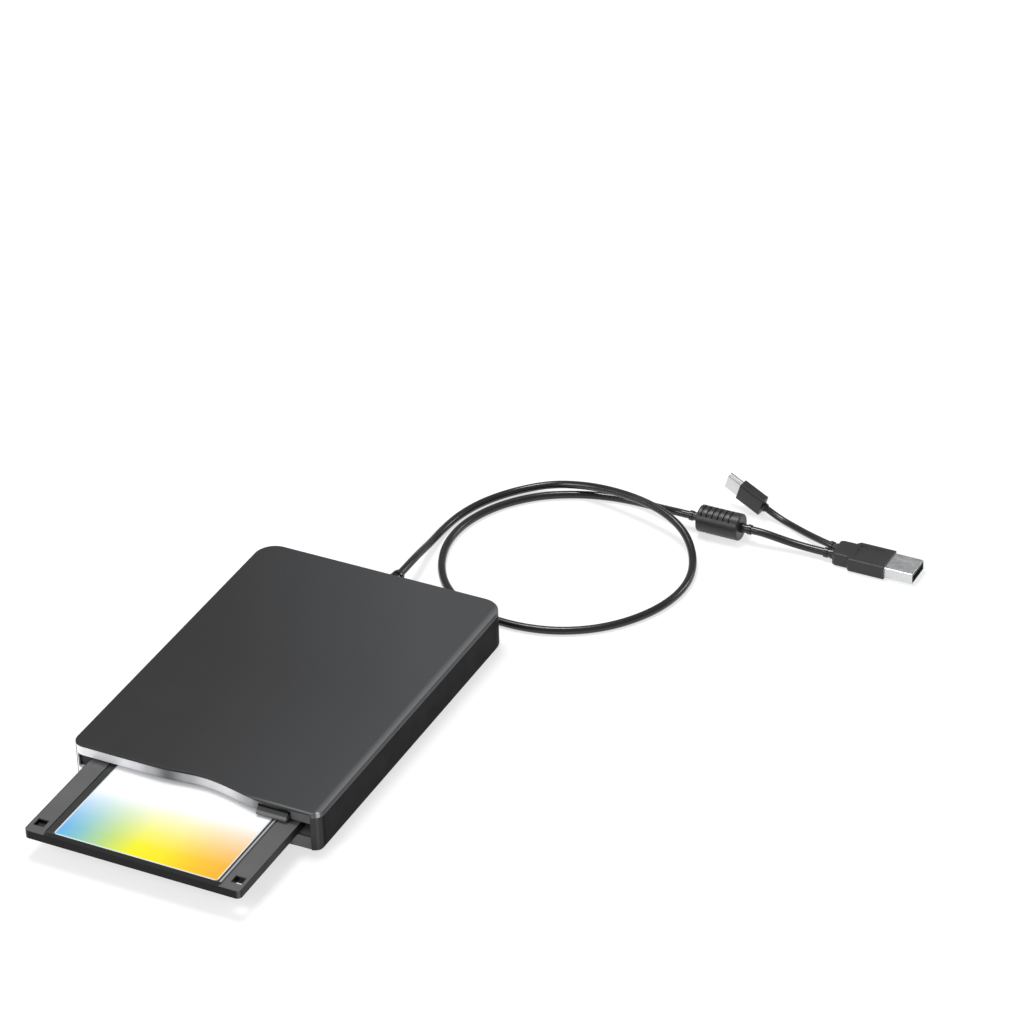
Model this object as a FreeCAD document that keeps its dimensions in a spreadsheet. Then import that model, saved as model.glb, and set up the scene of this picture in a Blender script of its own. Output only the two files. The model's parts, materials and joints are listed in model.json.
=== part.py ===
# External 3.5-inch floppy disk drive on a USB cable, with a disk half-way into its slot.
#
# Frame: millimetres, +Z up. The slot and its bezel face -Y and the cable leaves at +Y. The origin is
# the centre of the case's footprint, on the surface that the feet stand on. The drive is modelled
# empty and ready: its disk holder is raised, the eject button is in, the heads are at track 0 and
# the upper head is lifted.
import FreeCAD, Part
import math
import os

import Sketcher
from FreeCAD import Placement, Rotation, Vector

# ---------------------------------------------------------------------------------------------
# Driving sizes
# ---------------------------------------------------------------------------------------------

SIZES = (
    # Disk: a 3.5-inch floppy
    ("disk_width", 90.0),
    ("disk_length", 94.0),
    ("disk_thickness", 3.3),
    ("disk_plate", 1.0),
    ("disk_corner_radius", 2.0),
    ("disk_chamfer", 3.5),
    ("hub_from_lead", 46.0),
    ("media_radius", 42.7),
    ("media_thickness", 0.1),
    ("liner_thickness", 0.2),
    ("cavity_gap", 0.5),
    ("hub_opening_radius", 14.2),
    ("hub_flange_radius", 13.8),
    ("hub_radius", 12.4),
    ("hub_sheet", 0.4),
    ("hub_inset", 0.05),
    ("hub_square", 4.2),
    ("drive_slot_width", 7.0),
    ("drive_slot_depth", 3.2),
    ("head_window_width", 10.0),
    ("head_window_length", 24.5),
    ("head_window_inset", 2.5),
    ("shutter_width", 27.0),
    ("shutter_length", 30.5),
    ("shutter_sheet", 0.2),
    ("shutter_recess", 0.25),
    ("shutter_travel", 12.6),
    ("shutter_overhang", 7.7),
    ("label_width", 68.3),
    ("label_length", 50.0),
    ("label_offset", 0.25),
    ("label_margin", 2.7),
    ("label_thickness", 0.12),
    ("label_recess", 0.2),
    ("rib_line_offset", 36.6),
    ("rib_line_width", 0.7),
    ("rib_line_depth", 0.3),
    ("notch_width", 4.4),
    ("notch_length", 4.2),
    ("notch_offset", 41.2),
    ("notch_from_trail", 6.4),
    ("tab_travel", 4.5),
    ("tab_length", 5.0),
    # Vertical stack inside the case
    ("foot_height", 0.6),
    ("floor_thickness", 1.6),
    ("boss_height", 0.4),
    ("chassis_sheet", 0.8),
    ("disk_load_height", 2.85),
    ("load_drop", 1.8),
    ("disk_gap_below", 0.3),
    ("disk_gap_above", 0.4),
    ("holder_sheet", 0.6),
    ("slider_gap", 0.65),
    ("slider_sheet", 0.6),
    ("plate_gap", 0.4),
    ("top_plate_sheet", 0.5),
    ("roof_gap", 1.0),
    ("roof_thickness", 1.5),
    ("cover_height", 2.0),
    # Widths from the disk outwards
    ("disk_side_gap", 0.5),
    ("side_gap", 0.5),
    ("case_side_gap", 2.9),
    ("case_wall", 1.6),
    # Depths from the front backwards
    ("bezel_zone", 8.0),
    ("carriage_rear_gap", 1.2),
    ("stepper_length", 10.0),
    ("board_gap", 1.0),
    ("board_depth", 12.0),
    ("board_back_gap", 2.4),
    ("disk_loaded_inset", 5.0),
    ("disk_in_travel", 50.4),
    # Case
    ("back_corner_radius", 8.5),
    ("front_corner_radius", 4.6),
    ("top_edge_round", 0.6),
    ("bottom_edge_round", 1.3),
    ("part_fit", 0.1),
    ("column_width", 3.8),
    ("corner_wrap_width", 1.9),
    ("column_depth", 4.4),
    ("cover_lip_drop", 1.4),
    ("cover_lip_sheet", 0.8),
    ("cover_brow", 0.8),
    ("foot_radius", 4.5),
    ("foot_recess", 0.5),
    ("foot_inset", 11.0),
    ("case_post_radius", 3.0),
    ("case_post_height", 3.8),
    ("case_screw_depth", 3.4),
    ("fixing_radius", 1.0),
    ("fixing_head_radius", 1.9),
    ("fixing_head_height", 0.8),
    ("fixing_reach", 6.0),
    ("fixing_cover", 0.5),
    ("board_post_radius", 2.2),
    ("drive_screw_inset", 1.0),
    ("drive_screw_front", 17.0),
    ("drive_screw_back", 18.0),
    ("board_height", 1.8),
    # Waved front, measured back from the front plane
    ("wave_left", 2.0),
    ("wave_dip", 3.6),
    ("wave_peak", -1.0),
    ("wave_right", -0.6),
    ("wave_flat_x", -18.0),
    ("wave_dip_x", 3.5),
    ("wave_peak_x", 30.0),
    # Bezel
    ("bezel_setback", 0.4),
    ("bezel_flange", 2.2),
    ("slot_gap_below", 0.25),
    ("slot_gap_above", 0.75),
    ("slot_side_gap", 1.6),
    ("button_width", 12.5),
    ("button_x", 34.2),
    ("button_height", 2.6),
    ("button_gap_below", 0.65),
    ("button_proud", 1.9),
    ("button_gap_above", 0.7),
    ("button_side_gap", 0.3),
    ("button_notch_right", 0.7),
    ("led_x", -38.0),
    ("led_radius", 1.1),
    ("led_height", 3.3),
    ("led_collar", 0.3),
    # Loading mechanism
    ("pin_radius", 1.0),
    ("pin_clearance", 0.3),
    ("front_pin_y", 25.0),
    ("rear_pin_inset", 20.0),
    ("pin_drop", 0.35),
    ("slider_travel", 4.0),
    ("slider_front_gap", 3.5),
    ("slider_plate_depth", 33.5),
    ("slider_flange_reach", 12.0),
    ("stem_width", 6.0),
    ("stem_depth", 8.0),
    ("lip_width", 3.6),
    ("holder_overrun", 2.0),
    ("holder_window_width", 26.0),
    ("holder_window_length", 29.0),
    ("holder_lever_depth", 5.0),
    ("lever_x", 37.0),
    ("lever_gap", 3.5),
    ("lever_radius", 22.0),
    ("lever_width", 5.0),
    ("lever_sheet", 0.7),
    ("lever_play", 0.15),
    ("lever_pin_radius", 1.0),
    ("lever_pivot_radius", 1.5),
    ("lever_pin_depth", 3.9),
    ("lever_angle", 40.0),
    ("lever_swing", 35.0),
    ("spring_radius", 0.9),
    ("spring_wire", 0.35),
    ("spring_side_gap", 1.4),
    ("spring_turns", 7.0),
    # Spindle motor
    ("rotor_radius", 19.0),
    ("rotor_sheet", 0.6),
    ("rotor_rim", 0.8),
    ("rotor_rim_drop", 0.9),
    ("rotor_height", 1.6),
    ("chuck_radius", 12.0),
    ("chuck_height", 0.5),
    ("shaft_radius", 1.9),
    ("shaft_reach", 1.1),
    ("bearing_radius", 4.0),
    ("bearing_height", 1.5),
    ("drive_pin_radius", 1.0),
    ("drive_pin_offset", 10.0),
    ("drive_pin_height", 0.8),
    ("magnet_width", 1.6),
    ("stator_inner", 8.4),
    ("stator_outer", 16.0),
    ("stator_height", 1.3),
    ("running_fit", 0.05),
    # Head carriage
    ("track_zero_radius", 39.5),
    ("carriage_travel", 14.8),
    ("carriage_width", 24.0),
    ("carriage_ahead", 3.3),
    ("carriage_depth", 31.8),
    ("carriage_lift", 0.5),
    ("carriage_height", 2.1),
    ("rod_radius", 0.9),
    ("rod_spacing", 19.0),
    ("rod_height", 1.5),
    ("rod_lug", 1.5),
    ("rod_lug_wall", 0.2),
    ("riser_width", 16.0),
    ("riser_depth", 5.0),
    ("riser_height", 3.0),
    ("arm_width", 10.0),
    ("arm_sheet", 0.6),
    ("arm_length", 28.0),
    ("arm_pin_radius", 0.6),
    ("arm_barrel_radius", 1.1),
    ("arm_lift_angle", 8.1),
    ("head_width", 5.0),
    ("head_length", 3.0),
    ("head_gap", 0.08),
    ("screw_x", -16.0),
    ("screw_height", 4.6),
    ("screw_radius", 1.2),
    ("screw_length", 22.2),
    ("screw_lug", 1.2),
    ("stepper_radius", 5.5),
    # Boards
    ("board_sheet", 0.8),
    ("chip_height", 1.1),
    ("chip_inset", 2.9),
    ("large_chip_width", 10.0),
    ("large_chip_depth", 6.0),
    ("small_chip_side", 7.0),
    ("large_chip_x", -29.0),
    ("small_chip_x", 30.5),
    ("front_chip_x", -32.5),
    ("front_chip_inset", 9.5),
    ("board_front_inset", 6.0),
    ("board_rear_inset", 3.0),
    ("board_rear_reach", 8.0),
    ("socket_depth", 4.0),
    ("socket_inset", 4.0),
    ("sensor_x", 16.75),
    ("sensor_width", 3.5),
    ("sensor_depth", 4.0),
    ("sensor_height", 3.0),
    ("sensor_inset", 2.0),
    ("switch_side", 3.6),
    ("switch_depth", 4.0),
    ("switch_height", 1.6),
    ("switch_inset", 1.6),
    ("switch_stem_radius", 0.7),
    ("switch_stem_gap", 0.15),
    ("drive_board_half", 42.0),
    ("flex_width", 14.0),
    ("flex_sheet", 0.2),
    ("flex_x", 29.0),
    ("connector_height", 1.4),
    # Cable and plugs
    ("cable_diameter", 3.2),
    ("pigtail_diameter", 2.7),
    ("gland_height", 8.5),
    ("gland_radius", 2.6),
    ("gland_flange_radius", 3.3),
    ("gland_flange_sheet", 1.2),
    ("relief_length", 12.0),
    ("relief_radius", 3.3),
    ("relief_tip_radius", 2.3),
    ("relief_groove", 0.6),
    ("relief_cuff", 2.0),
    ("floor_gap", 0.05),
    ("ferrite_radius", 5.5),
    ("ferrite_length", 18.0),
    ("ferrite_round", 0.6),
    ("groove_first", 2.1),
    ("groove_pitch", 2.4),
    ("groove_width", 0.8),
    ("groove_depth", 0.6),
    ("groove_count", 6.0),
    ("band_half", 3.6),
    ("band_flat", 4.0),
    ("collar_length", 4.4),
    ("collar_wall", 0.45),
    ("collar_groove", 0.3),
    ("usb_a_width", 14.0),
    ("usb_a_thickness", 5.8),
    ("usb_a_neck_width", 10.8),
    ("usb_a_neck_length", 6.2),
    ("usb_a_length", 22.5),
    ("usb_a_panel_inset", 2.2),
    ("usb_a_panel_depth", 0.25),
    ("usb_a_shell_width", 12.0),
    ("usb_a_shell_height", 4.5),
    ("usb_a_shell_reach", 12.0),
    ("usb_a_shell_wall", 0.3),
    ("usb_a_tongue", 1.9),
    ("usb_a_seat", 5.0),
    ("usb_a_lead_offset", 1.8),
    ("usb_c_width", 9.0),
    ("usb_c_thickness", 4.2),
    ("usb_c_length", 13.1),
    ("usb_c_neck", 1.6),
    ("usb_c_shell_width", 8.34),
    ("usb_c_shell_height", 2.56),
    ("usb_c_shell_reach", 6.5),
    ("usb_c_shell_wall", 0.3),
    ("usb_c_seat", 3.0),
    ("usb_c_shell_round", 1.2),
    ("usb_c_roll", 83.0),
    ("plug_round", 0.9),
)


class Size:
    """A length of the sheet, or a sum of such lengths, as a number and as an expression."""

    def __init__(self, value, formula):
        self.value = value
        self.formula = formula

    def __add__(self, other):
        other = as_size(other)
        return Size(self.value + other.value, f"({self.formula} + {other.formula})")

    def __sub__(self, other):
        other = as_size(other)
        return Size(self.value - other.value, f"({self.formula} - {other.formula})")

    def __rsub__(self, other):
        return as_size(other) - self

    def __mul__(self, factor):
        factor = as_size(factor)
        return Size(self.value * factor.value, f"({self.formula} * {factor.formula})")

    def __truediv__(self, divisor):
        divisor = as_size(divisor)
        return Size(self.value / divisor.value, f"({self.formula} / {divisor.formula})")

    def __neg__(self):
        return as_size(0) - self

    __radd__ = __add__
    __rmul__ = __mul__


def as_size(value):
    if isinstance(value, Size):
        return value
    return Size(float(value), f"({value})")


class Sheet:
    """The spreadsheet of driving sizes; each alias reads back as a Size."""

    def __init__(self, document, rows):
        self.cells = document.addObject("Spreadsheet::Sheet", "Sizes")
        for row, (alias, value) in enumerate(rows, 1):
            self.cells.set(f"A{row}", alias)
            self.cells.set(f"B{row}", str(value))
            self.cells.setAlias(f"B{row}", alias)
        document.recompute()

    def __getattr__(self, alias):
        return Size(float(self.cells.get(alias)), f"Sizes.{alias}")


doc = FreeCAD.newDocument("floppy_drive")
s = Sheet(doc, SIZES)
PIECES = []


# ---------------------------------------------------------------------------------------------
# Building helpers
# ---------------------------------------------------------------------------------------------

def bind(thing, **sizes):
    """Tie properties of an object to sizes; a double underscore stands for a dot."""
    for name, size in sizes.items():
        thing.setExpression(name.replace("__", "."), as_size(size).formula)


def put(thing, x=0, y=0, z=0):
    bind(thing, Placement__Base__x=x, Placement__Base__y=y, Placement__Base__z=z)


def box(name, x, y, z):
    """A block between two values along each axis."""
    block = doc.addObject("Part::Box", name)
    bind(block, Length=x[1] - x[0], Width=y[1] - y[0], Height=z[1] - z[0])
    put(block, x[0], y[0], z[0])
    return block


def rod(name, axis, radius, length, x=0, y=0, z=0):
    """A cylinder from a point towards +X, +Y or +Z."""
    bar = doc.addObject("Part::Cylinder", name)
    turns = {"X": Rotation(Vector(0, 1, 0), 90), "Y": Rotation(Vector(1, 0, 0), -90), "Z": Rotation()}
    bar.Placement = Placement(Vector(), turns[axis])
    bind(bar, Radius=radius, Height=length)
    put(bar, x, y, z)
    return bar


def fuse(name, *shapes):
    union = doc.addObject("Part::MultiFuse", name)
    union.Shapes = list(shapes)
    union.Refine = True
    return union


def cut(name, base, *tools):
    difference = doc.addObject("Part::Cut", name)
    difference.Base = base
    difference.Tool = tools[0] if len(tools) == 1 else fuse(f"{name}_tools", *tools)
    difference.Refine = True
    return difference


def piece(thing, label):
    """Name a finished sub-part and list it for export."""
    thing.Label = label
    PIECES.append(thing)
    return thing


class Rect:
    """A rectangle between two values each way, its corners rounded when it has a radius."""

    def __init__(self, x, y, radius=None):
        self.x = [as_size(value) for value in x]
        self.y = [as_size(value) for value in y]
        self.radius = radius

    def draw(self, sketch):
        (x0, x1), (y0, y1) = self.x, self.y
        if self.radius is None:
            Path([(x0, y0), (x1, y0), (x1, y1), (x0, y1)]).draw(sketch)
            return
        r = self.radius
        corners = [(x1 - r, y0, x1, y0 + r), (x1, y1 - r, x1 - r, y1),
                   (x0 + r, y1, x0, y1 - r), (x0, y0 + r, x0 + r, y0)]
        centres = [(x1 - r, y0 + r), (x1 - r, y1 - r), (x0 + r, y1 - r), (x0 + r, y0 + r)]
        first = sketch.GeometryCount
        for number, (ax, ay, bx, by) in enumerate(corners):
            before = corners[number - 1]
            line = sketch.addGeometry(Part.LineSegment(point(*before[2:]), point(ax, ay)), False)
            hold(sketch, line, 1, *before[2:])
            hold(sketch, line, 2, ax, ay)
            centre = centres[number]
            start = math.radians(90 * number - 90)
            circle = Part.Circle(point(*centre), Vector(0, 0, 1), r.value)
            arc = sketch.addGeometry(Part.ArcOfCircle(circle, start, start + math.pi / 2), False)
            sketch.addConstraint(Sketcher.Constraint("Coincident", line, 2, arc, 1))
            dimension(sketch, Sketcher.Constraint("Radius", arc, r.value), r)
        for number in range(4):
            arc = first + 2 * number + 1
            line = first + 2 * ((number + 1) % 4)
            sketch.addConstraint(Sketcher.Constraint("Coincident", arc, 2, line, 1))


class Path:
    """A closed polygon, each corner at named values."""

    def __init__(self, points):
        self.points = [(as_size(x), as_size(y)) for x, y in points]

    def draw(self, sketch):
        first = sketch.GeometryCount
        count = len(self.points)
        for number, start in enumerate(self.points):
            end = self.points[(number + 1) % count]
            line = sketch.addGeometry(Part.LineSegment(point(*start), point(*end)), False)
            hold(sketch, line, 1, *start)
        for number in range(count):
            following = first + (number + 1) % count
            sketch.addConstraint(Sketcher.Constraint("Coincident", first + number, 2, following, 1))


class Disc:
    """A circle."""

    def __init__(self, x, y, radius):
        self.x = as_size(x)
        self.y = as_size(y)
        self.radius = as_size(radius)

    def draw(self, sketch):
        circle = Part.Circle(point(self.x, self.y), Vector(0, 0, 1), self.radius.value)
        number = sketch.addGeometry(circle, False)
        dimension(sketch, Sketcher.Constraint("Radius", number, self.radius.value), self.radius)
        hold(sketch, number, 3, self.x, self.y)


def point(x, y):
    return Vector(x.value, y.value, 0)


def dimension(sketch, constraint, size):
    index = sketch.addConstraint(constraint)
    sketch.setExpression(f"Constraints[{index}]", size.formula)


def hold(sketch, geometry, end, x, y):
    """Fix one end of a sketch line, or a circle's centre, at two values from the origin."""
    for kind, size in (("DistanceX", x), ("DistanceY", y)):
        dimension(sketch, Sketcher.Constraint(kind, -1, 1, geometry, end, size.value), size)


class Body:
    """A PartDesign body made of pads and pockets drawn on its own origin planes."""

    NORMAL = {"XY": 1, "XZ": -1, "YZ": 1}

    def __init__(self, name):
        self.name = name
        self.body = doc.addObject("PartDesign::Body", name)
        self.count = 0

    def sketch(self, plane, offset, profiles):
        role = f"{plane}_Plane"
        support = next(item for item in self.body.Origin.OriginFeatures if item.Role == role)
        drawing = self.body.newObject("Sketcher::SketchObject", f"{self.name}_sketch")
        drawing.AttachmentSupport = [(support, "")]
        drawing.MapMode = "FlatFace"
        bind(drawing, AttachmentOffset__Base__z=offset)
        for profile in profiles:
            profile.draw(drawing)
        return drawing

    def feature(self, kind, plane, start, length, profiles):
        drawing = self.sketch(plane, start, profiles)
        feature = self.body.newObject(f"PartDesign::{kind}", f"{self.name}_{kind.lower()}")
        feature.Profile = drawing
        feature.Refine = True
        bind(feature, Length=length)
        return feature

    def pad(self, plane, low, high, *profiles):
        """Add the profiles between two values along the plane's normal axis."""
        start = low if self.NORMAL[plane] > 0 else -as_size(high)
        return self.feature("Pad", plane, start, as_size(high) - low, profiles)

    def pocket(self, plane, low, high, *profiles):
        """Cut the profiles away between two values along the plane's normal axis."""
        start = high if self.NORMAL[plane] > 0 else -as_size(low)
        return self.feature("Pocket", plane, start, as_size(high) - low, profiles)

    def revolve(self, *profiles):
        """Turn profiles drawn in the XZ plane a full circle about the Z axis."""
        drawing = self.sketch("XZ", as_size(0), profiles)
        feature = self.body.newObject("PartDesign::Revolution", f"{self.name}_revolution")
        feature.Profile = drawing
        feature.ReferenceAxis = (drawing, ["V_Axis"])
        feature.Angle = 360
        return feature

    def round(self, radius, chosen):
        """Fillet the edges that the test chooses."""
        doc.recompute()
        base = self.body.Tip
        names = [f"Edge{number}" for number, edge in enumerate(base.Shape.Edges, 1) if chosen(edge)]
        fillet = self.body.newObject("PartDesign::Fillet", f"{self.name}_fillet")
        fillet.Base = (base, names)
        bind(fillet, Radius=radius)
        return fillet

    def piece(self, label):
        return piece(self.body, label)


def level(edge, z):
    """Whether an edge lies flat at one height."""
    bounds = edge.BoundBox
    return abs(bounds.ZMin - z.value) < 1e-4 and abs(bounds.ZMax - z.value) < 1e-4


# ---------------------------------------------------------------------------------------------
# Heights, widths and depths that follow from the driving sizes
# ---------------------------------------------------------------------------------------------

underside = s.foot_height
case_floor = underside + s.floor_thickness
chassis_z = case_floor + s.boss_height
deck = chassis_z + s.chassis_sheet
disk_low = deck + s.disk_load_height
disk_bottom = disk_low + s.load_drop
disk_top = disk_bottom + s.disk_thickness
lip_top = disk_bottom - s.disk_gap_below
lip_bottom = lip_top - s.holder_sheet
holder_roof = disk_top + s.disk_gap_above
holder_top = holder_roof + s.holder_sheet
slider_z = holder_top + s.slider_gap
slider_top = slider_z + s.slider_sheet
wall_top = slider_top + s.plate_gap
plate_top = wall_top + s.top_plate_sheet
roof = plate_top + s.roof_gap
case_top = roof + s.roof_thickness
seam = case_top - s.cover_height
brow = case_top - s.cover_brow
bezel_top = brow - s.part_fit
slot_bottom = disk_low - s.slot_gap_below
slot_top = disk_top + s.slot_gap_above

disk_half = s.disk_width / 2
holder_inner = disk_half + s.disk_side_gap
holder_half = holder_inner + s.holder_sheet
slider_inner = holder_half + s.side_gap
slider_half = slider_inner + s.slider_sheet
chassis_inner = slider_half + s.side_gap
chassis_half = chassis_inner + s.chassis_sheet
cavity_half = chassis_half + s.case_side_gap
half_width = cavity_half + s.case_wall
notch_half = half_width - s.column_width
bezel_half = notch_half - s.part_fit
slot_left = half_width - s.corner_wrap_width

loaded_lead_in = s.disk_loaded_inset + s.disk_length
head_in = loaded_lead_in - s.hub_from_lead + s.track_zero_radius
carriage_back_in = head_in - s.carriage_ahead + s.carriage_depth
chassis_back_in = carriage_back_in + s.carriage_rear_gap + s.chassis_sheet
half_depth = (chassis_back_in + s.stepper_length + s.board_gap + s.board_depth
              + s.board_back_gap + s.case_wall) / 2
front = -half_depth
back = half_depth
cavity_back = back - s.case_wall
chassis_front = front + s.bezel_zone
chassis_back = front + chassis_back_in
flange_front = front + s.column_depth + 2 * s.part_fit
flange_back = flange_front + s.bezel_flange
blank_front = front - 2 * s.back_corner_radius
loaded_lead = front + loaded_lead_in
holder_back = loaded_lead + s.holder_overrun
lead = loaded_lead - s.disk_in_travel
trail = lead - s.disk_length
hub_y = lead - s.hub_from_lead
spindle_y = loaded_lead - s.hub_from_lead
head_y = spindle_y + s.track_zero_radius
board_front = chassis_back + s.stepper_length + s.board_gap
board_back = board_front + s.board_depth
spring_x = -(chassis_half + s.spring_side_gap)


# ---------------------------------------------------------------------------------------------
# Case
# ---------------------------------------------------------------------------------------------

def front_space(name, setback):
    """Everything ahead of the waved front, which rounds into both sides of the case."""
    half = half_width.value
    radius = s.front_corner_radius.value
    base = front.value + setback.value
    left = base + s.wave_left.value
    right = base + s.wave_right.value
    ahead = blank_front.value - radius
    bend = radius * (1 - math.sqrt(0.5))
    start = Vector(-half + radius, left)
    flat_end = Vector(s.wave_flat_x.value, left)
    end = Vector(half - radius, right)
    wave = Part.BSplineCurve()
    wave.interpolate(Points=[flat_end, Vector(s.wave_dip_x.value, base + s.wave_dip.value),
                             Vector(s.wave_peak_x.value, base + s.wave_peak.value), end],
                     InitialTangent=Vector(1, 0, 0), FinalTangent=Vector(1, 0, 0))
    side_left = Vector(-half, left + radius)
    side_right = Vector(half, right + radius)
    outside_left = Vector(-half - radius, left + radius)
    outside_right = Vector(half + radius, right + radius)
    far_left = Vector(-half - radius, ahead)
    far_right = Vector(half + radius, ahead)
    outline = Part.Wire([
        Part.LineSegment(far_left, outside_left).toShape(),
        Part.LineSegment(outside_left, side_left).toShape(),
        Part.Arc(side_left, Vector(-half + bend, left + bend), start).toShape(),
        Part.LineSegment(start, flat_end).toShape(),
        wave.toShape(),
        Part.Arc(end, Vector(half - bend, right + bend), side_right).toShape(),
        Part.LineSegment(side_right, outside_right).toShape(),
        Part.LineSegment(outside_right, far_right).toShape(),
        Part.LineSegment(far_right, far_left).toShape()])
    space = doc.addObject("Part::Feature", name)
    height = case_top.value + 2
    space.Shape = Part.Face(outline).extrude(Vector(0, 0, height))
    space.Placement = Placement(Vector(0, 0, -1), Rotation())
    return space


def case_blank(shell, low, high):
    shell.pad("XY", low, high, Rect((-half_width, half_width), (blank_front, back), s.back_corner_radius))


def outline_edge(edge, z):
    """A flat edge of the plan outline, apart from the front, which the wave replaces."""
    return level(edge, z) and edge.BoundBox.YMax > front.value


def mirrored(x, y):
    return [(x, y), (-x, y)]


foot_places = mirrored(half_width - s.foot_inset, front + s.foot_inset + s.bezel_zone)
foot_places += mirrored(half_width - s.foot_inset, back - s.foot_inset - s.case_wall)
case_screw_places = mirrored(half_width - s.foot_inset, back - s.foot_inset - s.case_wall)
drive_screw_x = holder_inner - s.drive_screw_inset
drive_screw_places = mirrored(drive_screw_x, chassis_front + s.drive_screw_front)
drive_screw_places += mirrored(drive_screw_x, chassis_back - s.drive_screw_back)
board_half = half_width - s.foot_inset - s.case_post_radius - 2
board_posts = mirrored(board_half - 4, board_front + s.board_depth / 2)


corner_space = Rect((-half_width - 1, -notch_half + 1), (blank_front, front + s.column_depth))


def bottom_case(space):
    shell = Body("bottom_case_shell")
    case_blank(shell, underside, seam)
    shell.round(s.bottom_edge_round, lambda edge: outline_edge(edge, underside))
    inner_radius = s.back_corner_radius - s.case_wall
    shell.pocket("XY", case_floor, seam, Rect((-cavity_half, cavity_half),
                 (front + 2 * s.back_corner_radius, cavity_back), inner_radius))
    shell.pocket("XY", case_floor, seam, Rect((-cavity_half, cavity_half),
                 (front + s.column_depth, front + 4 * s.back_corner_radius)))
    shell.pocket("XY", underside, seam,
                 Rect((-notch_half, notch_half), (blank_front, flange_back + s.part_fit)))
    shell.pocket("XY", underside, seam, corner_space)
    shell.pad("XY", case_floor, chassis_z, *[Disc(x, y, s.case_post_radius) for x, y in drive_screw_places])
    shell.pad("XY", case_floor, case_floor + s.case_post_height,
              *[Disc(x, y, s.case_post_radius) for x, y in case_screw_places])
    shell.pad("XY", case_floor, case_floor + s.board_height,
              *[Disc(x, y, s.board_post_radius) for x, y in board_posts])
    shell.pocket("XY", underside + s.fixing_cover, chassis_z,
                 *[Disc(x, y, s.fixing_radius + s.running_fit) for x, y in drive_screw_places])
    shell.pocket("XY", underside, underside + s.case_screw_depth,
                 *[Disc(x, y, s.fixing_head_radius + 4 * s.part_fit) for x, y in case_screw_places])
    shell.pocket("XY", underside + s.case_screw_depth, case_floor + s.case_post_height,
                 *[Disc(x, y, s.fixing_radius + s.part_fit) for x, y in case_screw_places])
    shell.pocket("XY", underside, underside + s.foot_recess,
                 *[Disc(x, y, s.foot_radius + s.part_fit) for x, y in foot_places])
    shell.pocket("XZ", cavity_back - 1, back + 1, Disc(0, s.gland_height, s.gland_radius))
    piece(cut("bottom_case_waved", shell.body, space), "bottom_case")


def top_cover(space):
    shell = Body("top_cover_shell")
    case_blank(shell, seam, case_top)
    shell.pocket("XY", seam, roof, Rect((-cavity_half, cavity_half),
                 (front + s.column_depth, cavity_back), s.back_corner_radius - s.case_wall))
    shell.pocket("XY", seam, brow,
                 Rect((-notch_half, notch_half), (blank_front, flange_back + s.part_fit)))
    shell.pocket("XY", seam, brow, corner_space)
    lip = cavity_half - s.part_fit
    inner = lip - s.cover_lip_sheet
    lip_front = flange_back + 5 * s.part_fit
    shell.pad("XY", seam - s.cover_lip_drop, roof,
              Rect((-lip, lip), (lip_front, cavity_back - s.part_fit),
                   s.back_corner_radius - s.case_wall - s.part_fit),
              Rect((-inner, inner), (lip_front + s.cover_lip_sheet,
                                     cavity_back - s.part_fit - s.cover_lip_sheet),
                   s.back_corner_radius - s.case_wall - s.part_fit - s.cover_lip_sheet))
    shell.pocket("XY", seam - s.cover_lip_drop, roof,
                 Rect((-inner, inner), (lip_front - 1, lip_front + 2 * s.back_corner_radius)))
    post_low = case_floor + s.case_post_height
    shell.pad("XY", post_low, roof, *[Disc(x, y, s.case_post_radius) for x, y in case_screw_places])
    shell.pocket("XY", post_low, post_low + s.fixing_reach + 1,
                 *[Disc(x, y, s.fixing_radius + s.running_fit) for x, y in case_screw_places])
    waved = cut("top_cover_waved", shell.body, space)
    doc.recompute()
    soft = doc.addObject("Part::Fillet", "top_cover_soft")
    soft.Base = waved
    radius = s.top_edge_round.value
    soft.Edges = [(number, radius, radius) for number, edge in enumerate(waved.Shape.Edges, 1)
                  if level(edge, case_top)]
    piece(soft, "top_cover")


def front_bezel(space):
    bar = Body("front_bezel_bar")
    bar.pad("XY", underside, bezel_top, Rect((-bezel_half, bezel_half), (blank_front, flange_back)))
    bar.pad("XY", underside, bezel_top,
            Rect((-half_width, -bezel_half + 1), (blank_front, front + s.column_depth - s.part_fit)))
    bar.round(s.bottom_edge_round, lambda edge: level(edge, underside)
              and edge.BoundBox.XMax < -cavity_half.value)
    flange_half = cavity_half - s.part_fit
    bar.pad("XY", case_floor + s.part_fit, seam - s.part_fit,
            Rect((-flange_half, flange_half), (flange_front, flange_back)))
    bar.pocket("XZ", blank_front - 1, flange_front,
               Rect((-slot_left, half_width), (slot_bottom, slot_top)))
    slot_half = disk_half + s.slot_side_gap
    bar.pocket("XZ", flange_front - 1, flange_back + 1,
               Rect((-slot_half, slot_half), (slot_bottom, slot_top)))
    bar.pocket("XZ", blank_front - 1, flange_back + 1,
               Rect((button_left - s.button_side_gap, button_right + s.button_notch_right),
                    (slot_top - 0.5, button_top + s.button_gap_above)))
    bar.pocket("XZ", blank_front - 1, flange_back + 1,
               Disc(s.led_x, underside + s.led_height, s.led_radius + s.part_fit))
    piece(cut("front_bezel_waved", bar.body, space), "front_bezel")


def led_lens():
    height = underside + s.led_height
    face = front + s.wave_left + s.bezel_setback + s.part_fit
    stem = rod("led_stem", "Y", s.led_radius, flange_back - face, s.led_x, face, height)
    collar = rod("led_collar", "Y", s.led_radius + s.led_collar, 0.6, s.led_x, flange_back, height)
    piece(fuse("led_lens", stem, collar), "activity_led_lens")


def feet():
    height = s.foot_height + s.foot_recess
    pads = [rod("foot", "Z", s.foot_radius, height, x, y, 0) for x, y in foot_places]
    piece(fuse("feet", *pads), "rubber_feet")


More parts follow.
